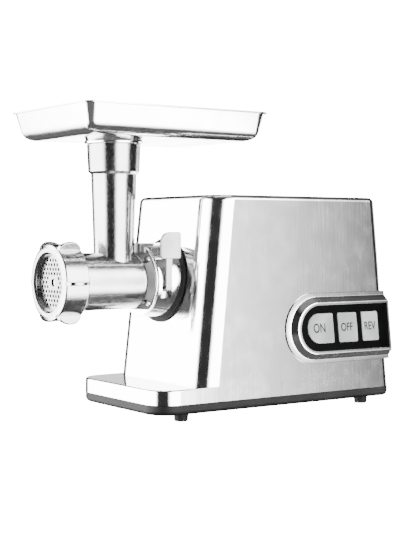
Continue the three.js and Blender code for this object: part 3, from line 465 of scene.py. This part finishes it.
def onRear(mesh, z):
    bmesh.ops.rotate(mesh, cent=(0, 0, 0), matrix=Matrix.Rotation(rearTilt, 3, "X"), verts=mesh.verts)
    bmesh.ops.translate(mesh, vec=(0, rearAt(z), z), verts=mesh.verts)
    return mesh


panel = {
    "front": 3.5, "half": 39.6, "slopeFront": 10.5, "slopeHalf": 35.0, "rimFront": 15.6, "rimHalf": 29.8,
    "faceFront": 20.6, "faceHalf": 25.7,
    "out": 8.0, "rear": 152.6, "slope": -0.1, "margin": 3, "windowRear": 138, "faceBack": 3.5, "faceOut": 7.4,
}


def dShape(front, half, rear, steps=24):
    slope = panel["slope"]
    points = [Vector((rear + slope * half, half))]
    for step in range(steps + 1):
        angle = math.radians(90 + 180 * step / steps)
        points.append(Vector((front + half + half * math.cos(angle), half * math.sin(angle))))
    points.append(Vector((rear - slope * half, -half)))
    return points


# The opening behind the panel, through the housing's side
def windowSlab(inner, outer):
    margin = panel["margin"]
    outline = dShape(panel["faceFront"] + margin, panel["faceHalf"] - margin, panel["windowRear"])
    return slab(outline, "X", inner, outer)


grille = {"z": 172, "halfWidth": 56, "half": 34, "corner": 8, "slots": 7, "slotHeight": 4.4, "pitch": 8.6,
    "thick": 3}
inlet = {"z": 50, "x": -48, "radius": 7.5}


def makeHousing():
    bottom, top, shelfTop, bend = housing["bottom"], housing["top"], housing["shelfTop"], housing["topRound"]

    def level(z, inset):
        side = sideAt(z) - inset
        outline = roundedBox(-side, side, frontAt(z) + inset, rearAt(z) - inset,
            max(housing["frontCorner"] - inset, 4),
            max(housing["rearCorner"] - inset, 4), 18)
        return [(p.x, p.y, z) for p in outline]
    shoulder = [math.radians(15 * step) for step in range(7)]
    levels = [(bottom, 0), (top - bend - 60, 0)] + [
        (top - bend + bend * math.sin(turn), bend - bend * math.cos(turn)) for turn in shoulder]
    body = loft([level(z, inset) for z, inset in levels])
    side, edge = sideAt(bottom), housing["shelfRound"]
    shelf = roundedBox(-side, side, shelfFront, 0, housing["frontCorner"], 2, 18)
    mesh = unite(body, slab(shelf, "Z", bottom, shelfTop))
    shelfEnd = frontAt(shelfTop) + 20
    flat = [e for e in mesh.edges if all(abs(v.co.z - shelfTop) < 0.01 and v.co.y < shelfEnd for v in e.verts)]
    bevel(mesh, [e for e in flat if e.is_convex and e.calc_face_angle(0) > 1], edge, 4)
    floor = [f for f in mesh.faces if all(abs(v.co.z - bottom) < 0.01 for v in f.verts)]
    bmesh.ops.delete(mesh, geom=floor, context="FACES")
    mesh = modified(mesh, ("SOLIDIFY", {"thickness": housing["sheet"], "offset": -1, "use_even_offset": True}))
    window = onSide(windowSlab(-6, 6))
    width, half = grille["halfWidth"] - 4, grille["half"] - 4
    vent = onRear(slab(roundedBox(-width, width, -half, half, 5), "Y", -8, 8), grille["z"])
    tools = [rod(housing["outlet"], -130, -80, centre=(0, 0, axisZ), turns=96), window, vent,
        rod(inlet["radius"] + 0.3, 140, 175, centre=(inlet["x"], 0, inlet["z"]))]
    mesh = carve(mesh, *tools)
    addPiece("housingShell", mesh, "housingSteel", "base", ["housing_shell"])


def makeBase():
    base = {"bottom": 10, "top": 20.7, "inset": 0.2, "lowerRound": 5.5, "upperRound": 0.6}
    side = housing["halfWidth"] - base["inset"]
    outline = roundedBox(-side, side, shelfFront + base["inset"], housing["rear"] - base["inset"], 28, 12, 12)
    mesh = slab(outline, "Z", base["bottom"], base["top"])
    low = [e for e in mesh.edges if all(v.co.z < base["bottom"] + 0.01 for v in e.verts)]
    bevel(mesh, low, base["lowerRound"], 7)
    high = [e for e in mesh.edges if all(v.co.z > base["top"] - 0.01 for v in e.verts)]
    bevel(mesh, high, base["upperRound"], 2)
    vents = []
    for row in range(2):
        for column in range(9):
            y = 10 + column * 9
            x = 26 if row else -26
            vents.append(slab(roundedBox(x - 16, x + 16, y - 2, y + 2, 1.9, steps=4), "Z", 5, 13))
    mesh = carve(mesh, gather(*vents))
    addPiece("basePan", mesh, "blackPlastic", "base", ["base_pan"])


def makeFeet():
    foot = {"x": 60, "frontY": -117, "rearY": 137, "top": 9.7, "topRadius": 8.2, "bottomRadius": 7.2}
    profile = [(4.6, 0, 0.5), (foot["bottomRadius"], 0, 1.2), (foot["topRadius"], foot["top"], 0.4),
        (2.4, foot["top"]), (2.4, 5), (4.6, 5)]
    places = {"front_right": (1, "frontY"), "front_left": (-1, "frontY"), "rear_right": (1, "rearY"),
        "rear_left": (-1, "rearY")}
    for place, (side, y) in places.items():
        mesh = spun(profile, "Z", (side * foot["x"], foot[y], 0), 40)
        addPiece("rubberFoot_" + place, mesh, "rubber", "base", ["foot_" + place])


def makeRear():
    width, half = grille["halfWidth"], grille["half"]
    frameMesh = slab(roundedBox(-width, width, -half, half, grille["corner"]), "Y", 0.3, grille["thick"], 0.8,
        3)
    slots = []
    for index in range(grille["slots"]):
        height = (index - (grille["slots"] - 1) / 2) * grille["pitch"]
        reach, tall = width - 9, grille["slotHeight"] / 2
        slots.append(slab(roundedBox(-reach, reach, height - tall, height + tall, 2.1, steps=5), "Y", -1, 6))
    mesh = onRear(carve(frameMesh, gather(*slots)), grille["z"])
    addPiece("rearGrille", mesh, "blackPlastic", "base", ["rear_grille"])
    face, radius = rearAt(inlet["z"]), inlet["radius"]
    profile = [(3.7, face - 12), (radius - 0.2, face - 12), (radius - 0.2, face + 0.6),
        (radius + 3, face + 1.5, 0.4),
        (radius + 2, face + 2.7, 0.8), (3.7, face + 2.7, 0.5)]
    mesh = spun(profile, "Y", (inlet["x"], 0, inlet["z"]), 48)
    addPiece("mainsInlet", mesh, "rubber", "base", ["mains_inlet"])


makeHousing()
makeBase()
makeFeet()
makeRear()
print("housing and base made")


# ---- food tray ----------------------------------------------------------
tray = {
    "halfWidth": 87.2, "front": -247.3, "rear": -14.4, "top": 331.0, "floor": 300.0, "flange": 3.0,
    "corner": 18, "fold": 17, "sheet": 1.3, "throat": 23.8, "tubeY": -164.0,
}


def makeTray():
    sheet, floor, top, flange = tray["sheet"], tray["floor"], tray["top"], tray["flange"]
    wall = 11.7
    outer = rounded([(36, floor), (wall, floor, tray["fold"]), (flange, top - 2), (0.4, top - 2)], False, 8)
    inner = rounded([(0, top - 1.8), (0, top, 0.5), (flange + 0.6, top, 0.8), (wall + sheet, floor + sheet,
        tray["fold"] - sheet), (37, floor + sheet)], False, 8)
    levels = []
    for inset, z in outer + inner:
        corner = max(tray["corner"] - inset, 6)
        levels.append((z, roundedBox(inset - tray["halfWidth"], tray["halfWidth"] - inset,
            tray["front"] + inset,
            tray["rear"] - inset, corner, steps=10)))
    mesh = loft([[(p.x, p.y, z) for p in outline] for z, outline in levels])
    hole = rod(tray["throat"], 280, 320, "Z", (0, tray["tubeY"], 0), 96)
    mesh = carve(mesh, hole)
    floor, throat = tray["floor"], tray["throat"]
    spigot = spun([(throat, floor + 1.2), (throat, 273, 0.5), (25.4, 273, 0.6), (25.7, 295.3),
        (31.3, 295.4, 0.7),
        (31.6, 297.4, 1.2), (30.2, floor + 0.4)], "Z", (0, tray["tubeY"], 0), 96)
    addPiece("foodTray", gather(mesh, spigot), "traySteel", "tray", ["food_tray"])


makeTray()
print("tray made")

# ---- grinding head ------------------------------------------------------
head = {
    "front": -235.0, "collarRear": -218.0, "bore": 27.2, "thread": 34.6, "frontRadius": 31.0,
    "rearRadius": 30.0,
    "neck": -141.5, "flareRear": -134.0, "flare": 37.4, "flat": 30.8, "tubeY": -164.0,
    "lugHalf": 8.5, "lugFront": -136.8, "lugRear": -118.0, "lugTop": 189.0,
}
bolt = {"orbit": 34.4, "angles": (43.5, 136.5, 223.5, 316.5), "head": 3.1, "pocket": 4.2, "seat": 1.6}


def boltPlaces():
    for angle in bolt["angles"]:
        turn = math.radians(angle)
        yield bolt["orbit"] * math.cos(turn), axisZ + bolt["orbit"] * math.sin(turn)


def makeHead():
    front, flareRear, bore = head["front"], head["flareRear"], head["bore"]
    barrel = spun([(bore, front + 2.7), (31.4, front + 2.7), (31.4, front, 0.5), (head["thread"], front, 0.8),
        (head["thread"], head["collarRear"], 0.5), (head["frontRadius"], head["collarRear"] + 0.5),
        (head["rearRadius"], head["neck"], 4), (head["flare"], flareRear - 0.9, 0.6),
        (head["flare"], flareRear, 0.2),
        (bore, flareRear)], "Y", (0, 0, axisZ), 128)
    flat = head["flat"]
    below = block(-50, 50, head["neck"], flareRear + 1, axisZ - 60, axisZ - flat)
    above = block(-50, 50, head["neck"], flareRear + 1, axisZ + flat, axisZ + 60)
    tube = spun([(0, axisZ + 4), (22.1, axisZ + 4), (22.1, 184), (24.4, 263, 1.5), (27.6, 265.6, 0.8),
        (28.9, 294.6, 0.5), (28.2, 295), (0, 295)], "Z", (0, head["tubeY"], 0), 128)
    rib = block(-2.4, 2.4, head["tubeY"] + 12, head["tubeY"] + 24.2, 178, 243, 0.8)
    lug = block(-head["lugHalf"], head["lugHalf"], head["lugFront"], head["lugRear"], 176.2, head["lugTop"],
        1.2)
    root = block(-head["lugHalf"], head["lugHalf"], head["lugFront"], flareRear, 166, 180)
    mesh = unite(carve(barrel, below, above), tube, rib, lug, root)
    throat = spun([(0, axisZ), (19.5, axisZ), (20.5, 263, 0.5), (26.2, 266, 0.5), (26.2, 297), (0, 297)], "Z",
        (0, head["tubeY"], 0), 96)
    chamber = rod(bore, front - 3, flareRear + 2, "Y", (0, 0, axisZ), 128)
    pockets = [rod(bolt["pocket"], flareRear - 14, flareRear - bolt["seat"], "Y", (x, 0, z), 40)
        for x, z in boltPlaces()]
    mesh = carve(mesh, throat, chamber, *pockets)
    for face in mesh.faces:
        face.material_index = int(face.calc_center_median().y > head["neck"] + 0.5)
    addPiece("headCasting", mesh, "headMetal", "head", ["head_casting"], extra=["roughCast"])


def makeScrews():
    for index, (x, z) in enumerate(boltPlaces()):
        rear = head["flareRear"] - bolt["seat"] - 0.1
        mesh = spun([(0, rear - 2.2), (bolt["head"], rear - 2.2, 0.8), (bolt["head"], rear), (1.7, rear),
            (1.7, -131.6), (0, -131.6)], "Y", (x, 0, z), 32)
        mesh = carve(mesh, block(x - 2, x + 2, rear - 4, rear - 1.1, z - 0.45, z + 0.45),
            block(x - 0.45, x + 0.45, rear - 4, rear - 1.1, z - 2, z + 2))
        addPiece(f"flangeScrew{index + 1}", mesh, "screwSteel", "head",
            [f"flange_screw_{index + 1}"])


def makeFlangeRing():
    mesh = spun([(27.2, -133.7), (39, -133.7, 0.7), (38.6, -131.2, 0.6), (34, -131), (34, -101, 0.8),
        (28.2, -101, 0.5),
        (28.2, -112), (13.3, -112, 0.5), (13.3, -118, 0.5), (27.2, -118)], "Y", (0, 0, axisZ), 128)
    mesh = carve(mesh, block(-head["lugHalf"] - 0.3, head["lugHalf"] + 0.3, -135, head["lugRear"] + 0.3,
        175.7, 200))
    addPiece("flangeRing", mesh, "chrome", "head", ["flange_ring"])


nut = {"front": -244.4, "rear": -216.5, "radius": 40.4, "thread": 35.2, "lip": 6.5, "mouth": 30.0,
    "flare": 32.0}
ear = {"count": 6, "foot": 2.7, "crown": 1.5, "root": 38.0, "middle": -229.7, "halfLength": 12.7, "rise": 8.8,
    "edge": 0.6}


# One half-round grip, thinner towards its crown, drawn pointing up
def makeEar():
    outline = [Vector((nut["rear"] - 0.8, ear["root"]))]
    for step in range(25):
        turn = math.pi * step / 24
        y = ear["middle"] + ear["halfLength"] * math.cos(turn)
        outline.append(Vector((min(max(y, nut["front"] + 0.3), nut["rear"] - 0.8),
            nut["radius"] - 0.2 + ear["rise"] * math.sin(turn))))
    outline.append(Vector((nut["front"] + 0.3, ear["root"])))
    mesh = slab(outline, "X", -1, 1)
    for vert in mesh.verts:
        share = (vert.co.z - ear["root"]) / (nut["radius"] + ear["rise"] - ear["root"])
        vert.co.x *= ear["foot"] + (ear["crown"] - ear["foot"]) * share
    along = [e for e in mesh.edges if abs(e.verts[0].co.x - e.verts[1].co.x) < 1]
    rims = [e for e in along if min(v.co.z for v in e.verts) > ear["root"] + 1]
    bevel(mesh, rims, ear["edge"], 3)
    return mesh


def makeNut():
    front, rear, radius = nut["front"], nut["rear"], nut["radius"]
    mesh = spun([(0, front), (36.2, front, 2), (radius - 0.8, front + 1.2, 1), (radius, front + 2.6, 1),
        (radius, rear, 0.9), (0, rear)], "Y", turns=180)
    ears = []
    for index in range(ear["count"]):
        grip = makeEar()
        turn = Matrix.Rotation(math.tau * index / ear["count"] + math.pi / 2, 3, "Y")
        bmesh.ops.rotate(grip, cent=(0, 0, 0), matrix=turn, verts=grip.verts)
        ears.append(grip)
    bore = spun([(0, front - 3), (nut["flare"] + 1, front - 3), (nut["flare"], front, 0.8),
        (nut["mouth"], front + 2.4, 1),
        (nut["mouth"], front + nut["lip"]), (nut["thread"], front + nut["lip"]), (nut["thread"], rear + 3),
        (0, rear + 3)],
        "Y", turns=160)
    mesh = carve(unite(mesh, *ears), bore)
    bmesh.ops.translate(mesh, vec=(0, 0, axisZ), verts=mesh.verts)
    addPiece("ringNut", mesh, "nutMetal", "nut", ["ring_nut"], 36)


def makePlate():
    plate = {"front": -237.6, "rear": -232.6, "radius": 31, "hole": 1.95, "across": 6.1, "up": 4.7, "rows": 5,
        "hub": 9.5, "reach": 27}
    mesh = slab(ring(plate["radius"], 96), "Y", plate["front"], plate["rear"], 0.5, 2)
    drills = [rod(4.2, plate["front"] - 1, plate["rear"] + 1, "Y", turns=32)]
    for row in range(-plate["rows"], plate["rows"] + 1):
        for column in range(-plate["rows"], plate["rows"] + 1):
            x = (column + (0 if row % 2 else 0.5)) * plate["across"]
            z = row * plate["up"]
            if plate["hub"] < math.hypot(x, z) < plate["reach"]:
                drills.append(rod(plate["hole"], plate["front"] - 1, plate["rear"] + 1, "Y", (x, 0, z), 14))
    mesh = carve(mesh, gather(*drills))
    # Hole-wall faces take the second slot, a near-black painted shade that stands in for the dark inside the
    # holes
    for face in mesh.faces:
        centre = face.calc_center_median()
        inside = abs(face.normal.y) < 0.3 and math.hypot(centre.x, centre.z) < plate["reach"] + plate["hole"]
        face.material_index = int(inside)
    bmesh.ops.translate(mesh, vec=(0, 0, axisZ), verts=mesh.verts)
    addPiece("cuttingPlate", mesh, "plateSteel", "head", ["cutting_plate"],
        extra=["paintedHoleShade"])


makeHead()
makeScrews()
makeFlangeRing()
makeNut()
makePlate()
print("grinding head made")


# ---- outlet and lever ---------------------------------------------------
def makeOutlet():
    gasketThick, face = 2.6, frontAt(axisZ)
    body = spun([(34.5, -130.7), (38.4, -130.7, 0.8), (42, -100), (42, -90), (34.5, -90)], "Y", turns=128)
    leaning = block(-80, 80, 0, 60, -80, 80)
    bmesh.ops.rotate(leaning, cent=(0, 0, 0), matrix=Matrix.Rotation(-frontTilt, 3, "X"), verts=leaning.verts)
    bmesh.ops.translate(leaning, vec=(0, face - gasketThick - 0.6, 0), verts=leaning.verts)
    body = carve(body, leaning)
    neck = spun([(34.5, -126.7), (37, -126.7), (37, -94.5, 0.5), (34.5, -94.5, 0.5)], "Y", turns=128)
    mesh = unite(body, neck)
    bmesh.ops.translate(mesh, vec=(0, 0, axisZ), verts=mesh.verts)
    notch = block(-head["lugHalf"] - 0.6, head["lugHalf"] + 0.6, -134, head["lugRear"] + 0.6, 175.4, 200)
    slot = block(33.8, 60, -126, -114.4, 130.2, 142.2)
    mesh = carve(mesh, notch, slot)
    addPiece("outletCollar", mesh, "chrome", "base", ["outlet_collar"])
    gasket = spun([(38.6, -gasketThick / 2), (46.5, -gasketThick / 2, 1.2), (46.5, gasketThick / 2, 1),
        (38.6, gasketThick / 2)], "Y", turns=128)
    bmesh.ops.rotate(gasket, cent=(0, 0, 0), matrix=Matrix.Rotation(-frontTilt, 3, "X"), verts=gasket.verts)
    bmesh.ops.translate(gasket, vec=(0, face - gasketThick / 2 - 0.3, axisZ), verts=gasket.verts)
    addPiece("collarGasket", gasket, "rubber", "base", ["collar_gasket"])


def makeLever():
    lever = {"pivotX": 36.5, "pivotZ": 139.6, "inner": 41.7, "outer": 45.2, "top": 178, "front": -125,
        "rear": -118,
        "padFront": -132, "padRear": -107, "padBottom": 172.4, "padTop": 201}
    x, z, outer, inner = lever["pivotX"], lever["pivotZ"], lever["outer"], lever["inner"]
    arm = slab(rounded([(x, z - 1.6), (outer - 1, z - 1.6, 2.4), (outer, lever["top"]), (inner, lever["top"]),
        (inner, z + 1.8, 1), (x, z + 1.8)]), "Y", lever["front"], lever["rear"], 0.5, 2)
    eye = rod(2.4, lever["front"], lever["rear"], "Y", (x, 0, z), 32)
    pad = slab(rounded([(lever["padFront"], lever["padBottom"], 3), (lever["padRear"], lever["padBottom"], 3),
        (lever["padRear"], lever["padTop"], 3), (lever["padFront"], lever["padTop"], 16)], True, 8), "X",
        inner - 0.2, outer + 0.4, 1, 3)
    mesh = unite(pad, arm, eye)
    mesh = carve(mesh, rod(1.3, -130, -110, "Y", (x, 0, z), 24))
    addPiece("releaseLever", mesh, "leverMetal", "lever", ["release_lever"])


makeOutlet()
makeLever()
print("outlet made")

# ---- button panel -------------------------------------------------------
buttons = {
    "on": {"front": 29.5, "rear": 66.5, "text": "ON", "size": 14.5, "shift": -2.2},
    "off": {"front": 73.5, "rear": 101.5, "text": "OFF", "size": 13, "shift": -1.6},
    "reverse": {"front": 109.0, "rear": 133.5, "text": "REV", "size": 13, "shift": -0.8},
}
cap = {"half": 16.8, "out": 8.5, "back": 2.6, "corner": 2.0, "stem": 5, "stemEnd": -5, "edge": 0.7}


def buttonOutline(name, grow=0):
    front, rear = buttons[name]["front"] - grow, buttons[name]["rear"] + grow
    half, corner, slope = cap["half"] + grow, cap["corner"] + grow, panel["slope"]
    if name == "on":
        turns = [math.radians(90 + 7.5 * step) for step in range(25)]
        nose = [(front + half + half * math.cos(turn), half * math.sin(turn)) for turn in turns]
        points = rounded([(rear, -half, corner), (rear, half, corner), *nose])
    else:
        points = roundedBox(front, rear, -half, half, corner, corner, 4)
    return [Vector((p.x + slope * p.y, p.y)) for p in points]


def makePanel():
    rear = panel["rear"]
    front, half, slopeFront, slopeHalf = panel["front"], panel["half"], panel["slopeFront"], panel["slopeHalf"]
    rimFront, rimHalf, out = panel["rimFront"], panel["rimHalf"], panel["out"]
    levels = [(-7, front, half), (1.0, front, half), (1.5, front + 0.6, half - 0.4),
        (1.7, slopeFront - 0.8, slopeHalf + 0.6),
        (1.9, slopeFront, slopeHalf), (5.4, rimFront - 1.4, rimHalf + 1.2),
        (6.6, rimFront - 0.4, rimHalf + 0.3),
        (7.5, rimFront + 0.8, rimHalf - 0.8), (out, rimFront + 2.2, rimHalf - 2)]
    mesh = onSide(loft([[(out, p.x, p.y) for p in dShape(front, half, rear)] for out, front, half in levels]))
    pocket = onSide(slab(dShape(panel["faceFront"] - 0.4, panel["faceHalf"] + 0.4, rear - 2.6), "X",
        panel["faceBack"] - 0.4, out + 3))
    opening = onSide(windowSlab(-12, out + 3))
    low, high, gap = housing["bottom"], housing["top"], 0.3
    start = frontAt(low) - 1
    body = slab([(start, low), (start + housing["frontLean"], high), (rearAt(high) + gap, high),
        (rearAt(low) + gap, low)], "X", -1, 1)
    for vert in body.verts:
        vert.co.x *= sideAt(vert.co.z) + gap
    standing = [e for e in body.edges if abs(e.verts[0].co.z - e.verts[1].co.z) > 100]
    bevel(body, standing, housing["rearCorner"], 8)
    mesh = carve(mesh, body, pocket, opening)
    addPiece("panelBezel", mesh, "chrome", "base", ["panel_bezel"], 30)
    face = slab(dShape(panel["faceFront"], panel["faceHalf"], rear - 3), "X", panel["faceBack"],
        panel["faceOut"], 0.5, 2)
    holes = [slab(buttonOutline(name, 0.4), "X", panel["faceBack"] - 1, panel["faceOut"] + 1)
        for name in buttons]
    mesh = onSide(carve(face, gather(*holes)))
    addPiece("panelFace", mesh, "faceBlack", "base", ["panel_face"])


def makeLabel(name):
    button = buttons[name]
    curve = bpy.data.curves.new(name + "Text", "FONT")
    curve.body = button["text"]
    curve.size = button["size"]
    curve.align_x = "CENTER"
    curve.align_y = "CENTER"
    curve.extrude = 0.05
    curve.offset = 0.2
    letters = bpy.data.objects.new(name + "Letters", curve)
    bpy.context.scene.collection.objects.link(letters)
    bpy.context.view_layer.update()
    data = bpy.data.meshes.new_from_object(letters.evaluated_get(bpy.context.evaluated_depsgraph_get()))
    mesh = bmesh.new()
    mesh.from_mesh(data)
    bpy.data.objects.remove(letters, do_unlink=True)
    middle = (button["front"] + button["rear"]) / 2 + button["shift"]
    turn = Matrix(((0, 0, 1), (1, 0, 0), (0, 1, 0)))
    bmesh.ops.rotate(mesh, cent=(0, 0, 0), matrix=turn, verts=mesh.verts)
    for vert in mesh.verts:
        vert.co.y = middle + vert.co.y * 0.78 + panel["slope"] * vert.co.z
        vert.co.x += cap["out"] + 0.02
    addPiece(name + "Label", onSide(mesh), "labelGrey", name)


def makeButtons():
    for name in buttons:
        mesh = slab(buttonOutline(name), "X", cap["back"], cap["out"], cap["edge"], 3)
        middle = (buttons[name]["front"] + buttons[name]["rear"]) / 2
        half = cap["stem"] / 2
        stem = block(cap["stemEnd"], cap["back"] + 1, middle - half, middle + half, -half, half, 0.4, 2)
        addPiece(name + "Button", onSide(unite(mesh, stem)), "buttonSilver", name,
            [name + "_button"])
        makeLabel(name)


makePanel()
makeButtons()
print("panel made")

# ---- inner works keep their frame shapes and get their finishes ---------
inner = {
    "screwSteel": ["lever_pin", "lever_spring", "knife_stud", "cross_knife", "drive_shank", "output_shaft",
        "output_gear",
        "second_gear_pin", "first_gear_pin", "motor_stator", "motor_rotor", "motor_pinion", "motor_bracket"],
    "headMetal": ["feed_screw"],
    "bronze": ["rear_bush", "output_bearing", "brush_holder_right", "brush_holder_left"],
    "nylon": ["thrust_washer", "gear_case", "gear_cover", "second_gear", "first_gear", "motor_fan"],
    "rubber": ["shaft_seal"],
    "copper": ["field_coil_upper", "field_coil_lower", "commutator"],
    "blackPlastic": ["motor_cradle"],
    "board": ["control_board"],
}
for finishName, names in inner.items():
    for name in names:
        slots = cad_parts[name].data.materials
        slots.clear()
        slots.append(materials[finishName])
for place in ("front_right", "front_left", "rear_right", "rear_left"):
    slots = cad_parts["foot_screw_" + place].data.materials
    slots.clear()
    slots.append(materials["screwSteel"])
print("inner works finished")

# ---- studio -------------------------------------------------------------
camera = {"azimuth": 55.5, "elevation": 1.66, "distance": 1414.84, "right": -39.6, "height": 157.37,
    "lens": 81.62}
panels = [
    {"from": -66, "to": 14, "rise": 6, "fall": 8, "curve": 1, "strength": 18, "spread": 10},
    {"from": 73, "to": 122, "rise": 8, "fall": 1.5, "curve": 1, "strength": 16, "spread": -20},
    {"from": 118, "to": 129.5, "rise": 2, "fall": 7.5, "curve": 1.5, "strength": 2.9, "spread": -20},
]
# Heights over which each band of the room comes in, and the azimuths of the part behind, in degrees
bands = {"top": (48, 30), "bottom": (-44, -24), "ceiling": (40, 60), "floor": (-8, -28), "steep": (4, 44),
    "aboveTop": (14, 9), "aboveFoot": (-2, 1), "belowTop": (1, -2), "belowFoot": (-9, -5),
    "behind": (-96, -108)}
studio = {"fill": 0.04, "over": 0.3, "under": 0.13, "below": 14, "above": 1.4, "floorTone": 0.8,
    "floorGlow": 18, "background": 20}


def makeCamera():
    azimuth, elevation = math.radians(camera["azimuth"]), math.radians(camera["elevation"])
    back = Vector((math.sin(azimuth) * math.cos(elevation), -math.cos(azimuth) * math.cos(elevation),
        math.sin(elevation)))
    right = Vector((math.cos(azimuth), math.sin(azimuth), 0))
    up = back.cross(right)
    lift = Vector((0, 0, camera["height"]))
    place = (back * camera["distance"] + right * camera["right"] + lift) / 1000 + datum
    data = bpy.data.cameras.new("camera")
    data.lens = camera["lens"]
    data.sensor_width = 36
    data.clip_end = 50
    eye = bpy.data.objects.new("camera", data)
    eye.matrix_world = Matrix.Translation(place) @ Matrix((right, up, back)).transposed().to_4x4()
    bpy.context.scene.collection.objects.link(eye)
    bpy.context.scene.camera = eye


# Tall soft panels with dark gaps between them, a dim ceiling and floor, and plain white behind the object
def makeWorld():
    world = bpy.data.worlds.new("studio")
    bpy.context.scene.world = world
    world.use_nodes = True
    tree = world.node_tree
    tree.nodes.clear()
    maker = Maker(tree)
    ray = maker.node("ShaderNodeTexCoord", out=0)
    split = maker.node("ShaderNodeSeparateXYZ", {}, {0: ray}).socket.node
    x, y, z = (Value(maker, socket) for socket in split.outputs)
    azimuth = x.maths("ARCTAN2", y * -1) * (180 / math.pi)
    height = z.maths("ARCSINE") * (180 / math.pi)
    light = studio["fill"]
    steep = height.maths("ABSOLUTE").between(*bands["steep"])
    for entry in panels:
        rise, fall, turned = entry["rise"], entry["fall"], azimuth + steep * entry["spread"]
        mask = turned.between(entry["from"] - rise, entry["from"] + rise) * turned.between(
            entry["to"] + fall, entry["to"] - fall)
        light = mask ** entry["curve"] * entry["strength"] + light
    band = height.between(*bands["top"]) * height.between(*bands["bottom"])
    above = height.between(*bands["aboveTop"]) * height.between(*bands["aboveFoot"]) * studio["above"]
    below = height.between(*bands["belowTop"]) * height.between(*bands["belowFoot"]) * studio["below"]
    behind = azimuth.between(*bands["behind"]) * (above + below)
    over = height.between(*bands["ceiling"]) * studio["over"]
    under = height.between(*bands["floor"]) * studio["under"]
    glow = light * band + over + under + behind
    seen = maker.node("ShaderNodeLightPath", out=0)
    strength = glow * (1 - seen) + seen * studio["background"]
    shader = maker.node("ShaderNodeBackground", {}, {"Color": (1, 1, 1, 1), "Strength": strength})
    maker.node("ShaderNodeOutputWorld", {}, {"Surface": shader})


def makeFloor():
    mesh = bmesh.new()
    bmesh.ops.create_grid(mesh, x_segments=1, y_segments=1, size=12)
    data = bpy.data.meshes.new("floor")
    mesh.to_mesh(data)
    mesh.free()
    floor = bpy.data.objects.new("floor", data)
    floor.location.z = -0.0004
    floor.visible_glossy = False
    floor.visible_diffuse = False
    bpy.context.scene.collection.objects.link(floor)
    material = bpy.data.materials.new("floorPaint")
    material.use_nodes = True
    shader = material.node_tree.nodes["Principled BSDF"]
    tone = studio["floorTone"]
    shader.inputs["Base Color"].default_value = (tone, tone, tone, 1)
    shader.inputs["Roughness"].default_value = 0.9
    shader.inputs["Emission Color"].default_value = (1, 1, 1, 1)
    shader.inputs["Emission Strength"].default_value = studio["floorGlow"]
    data.materials.append(material)


makeCamera()
makeWorld()
makeFloor()
print("studio made")
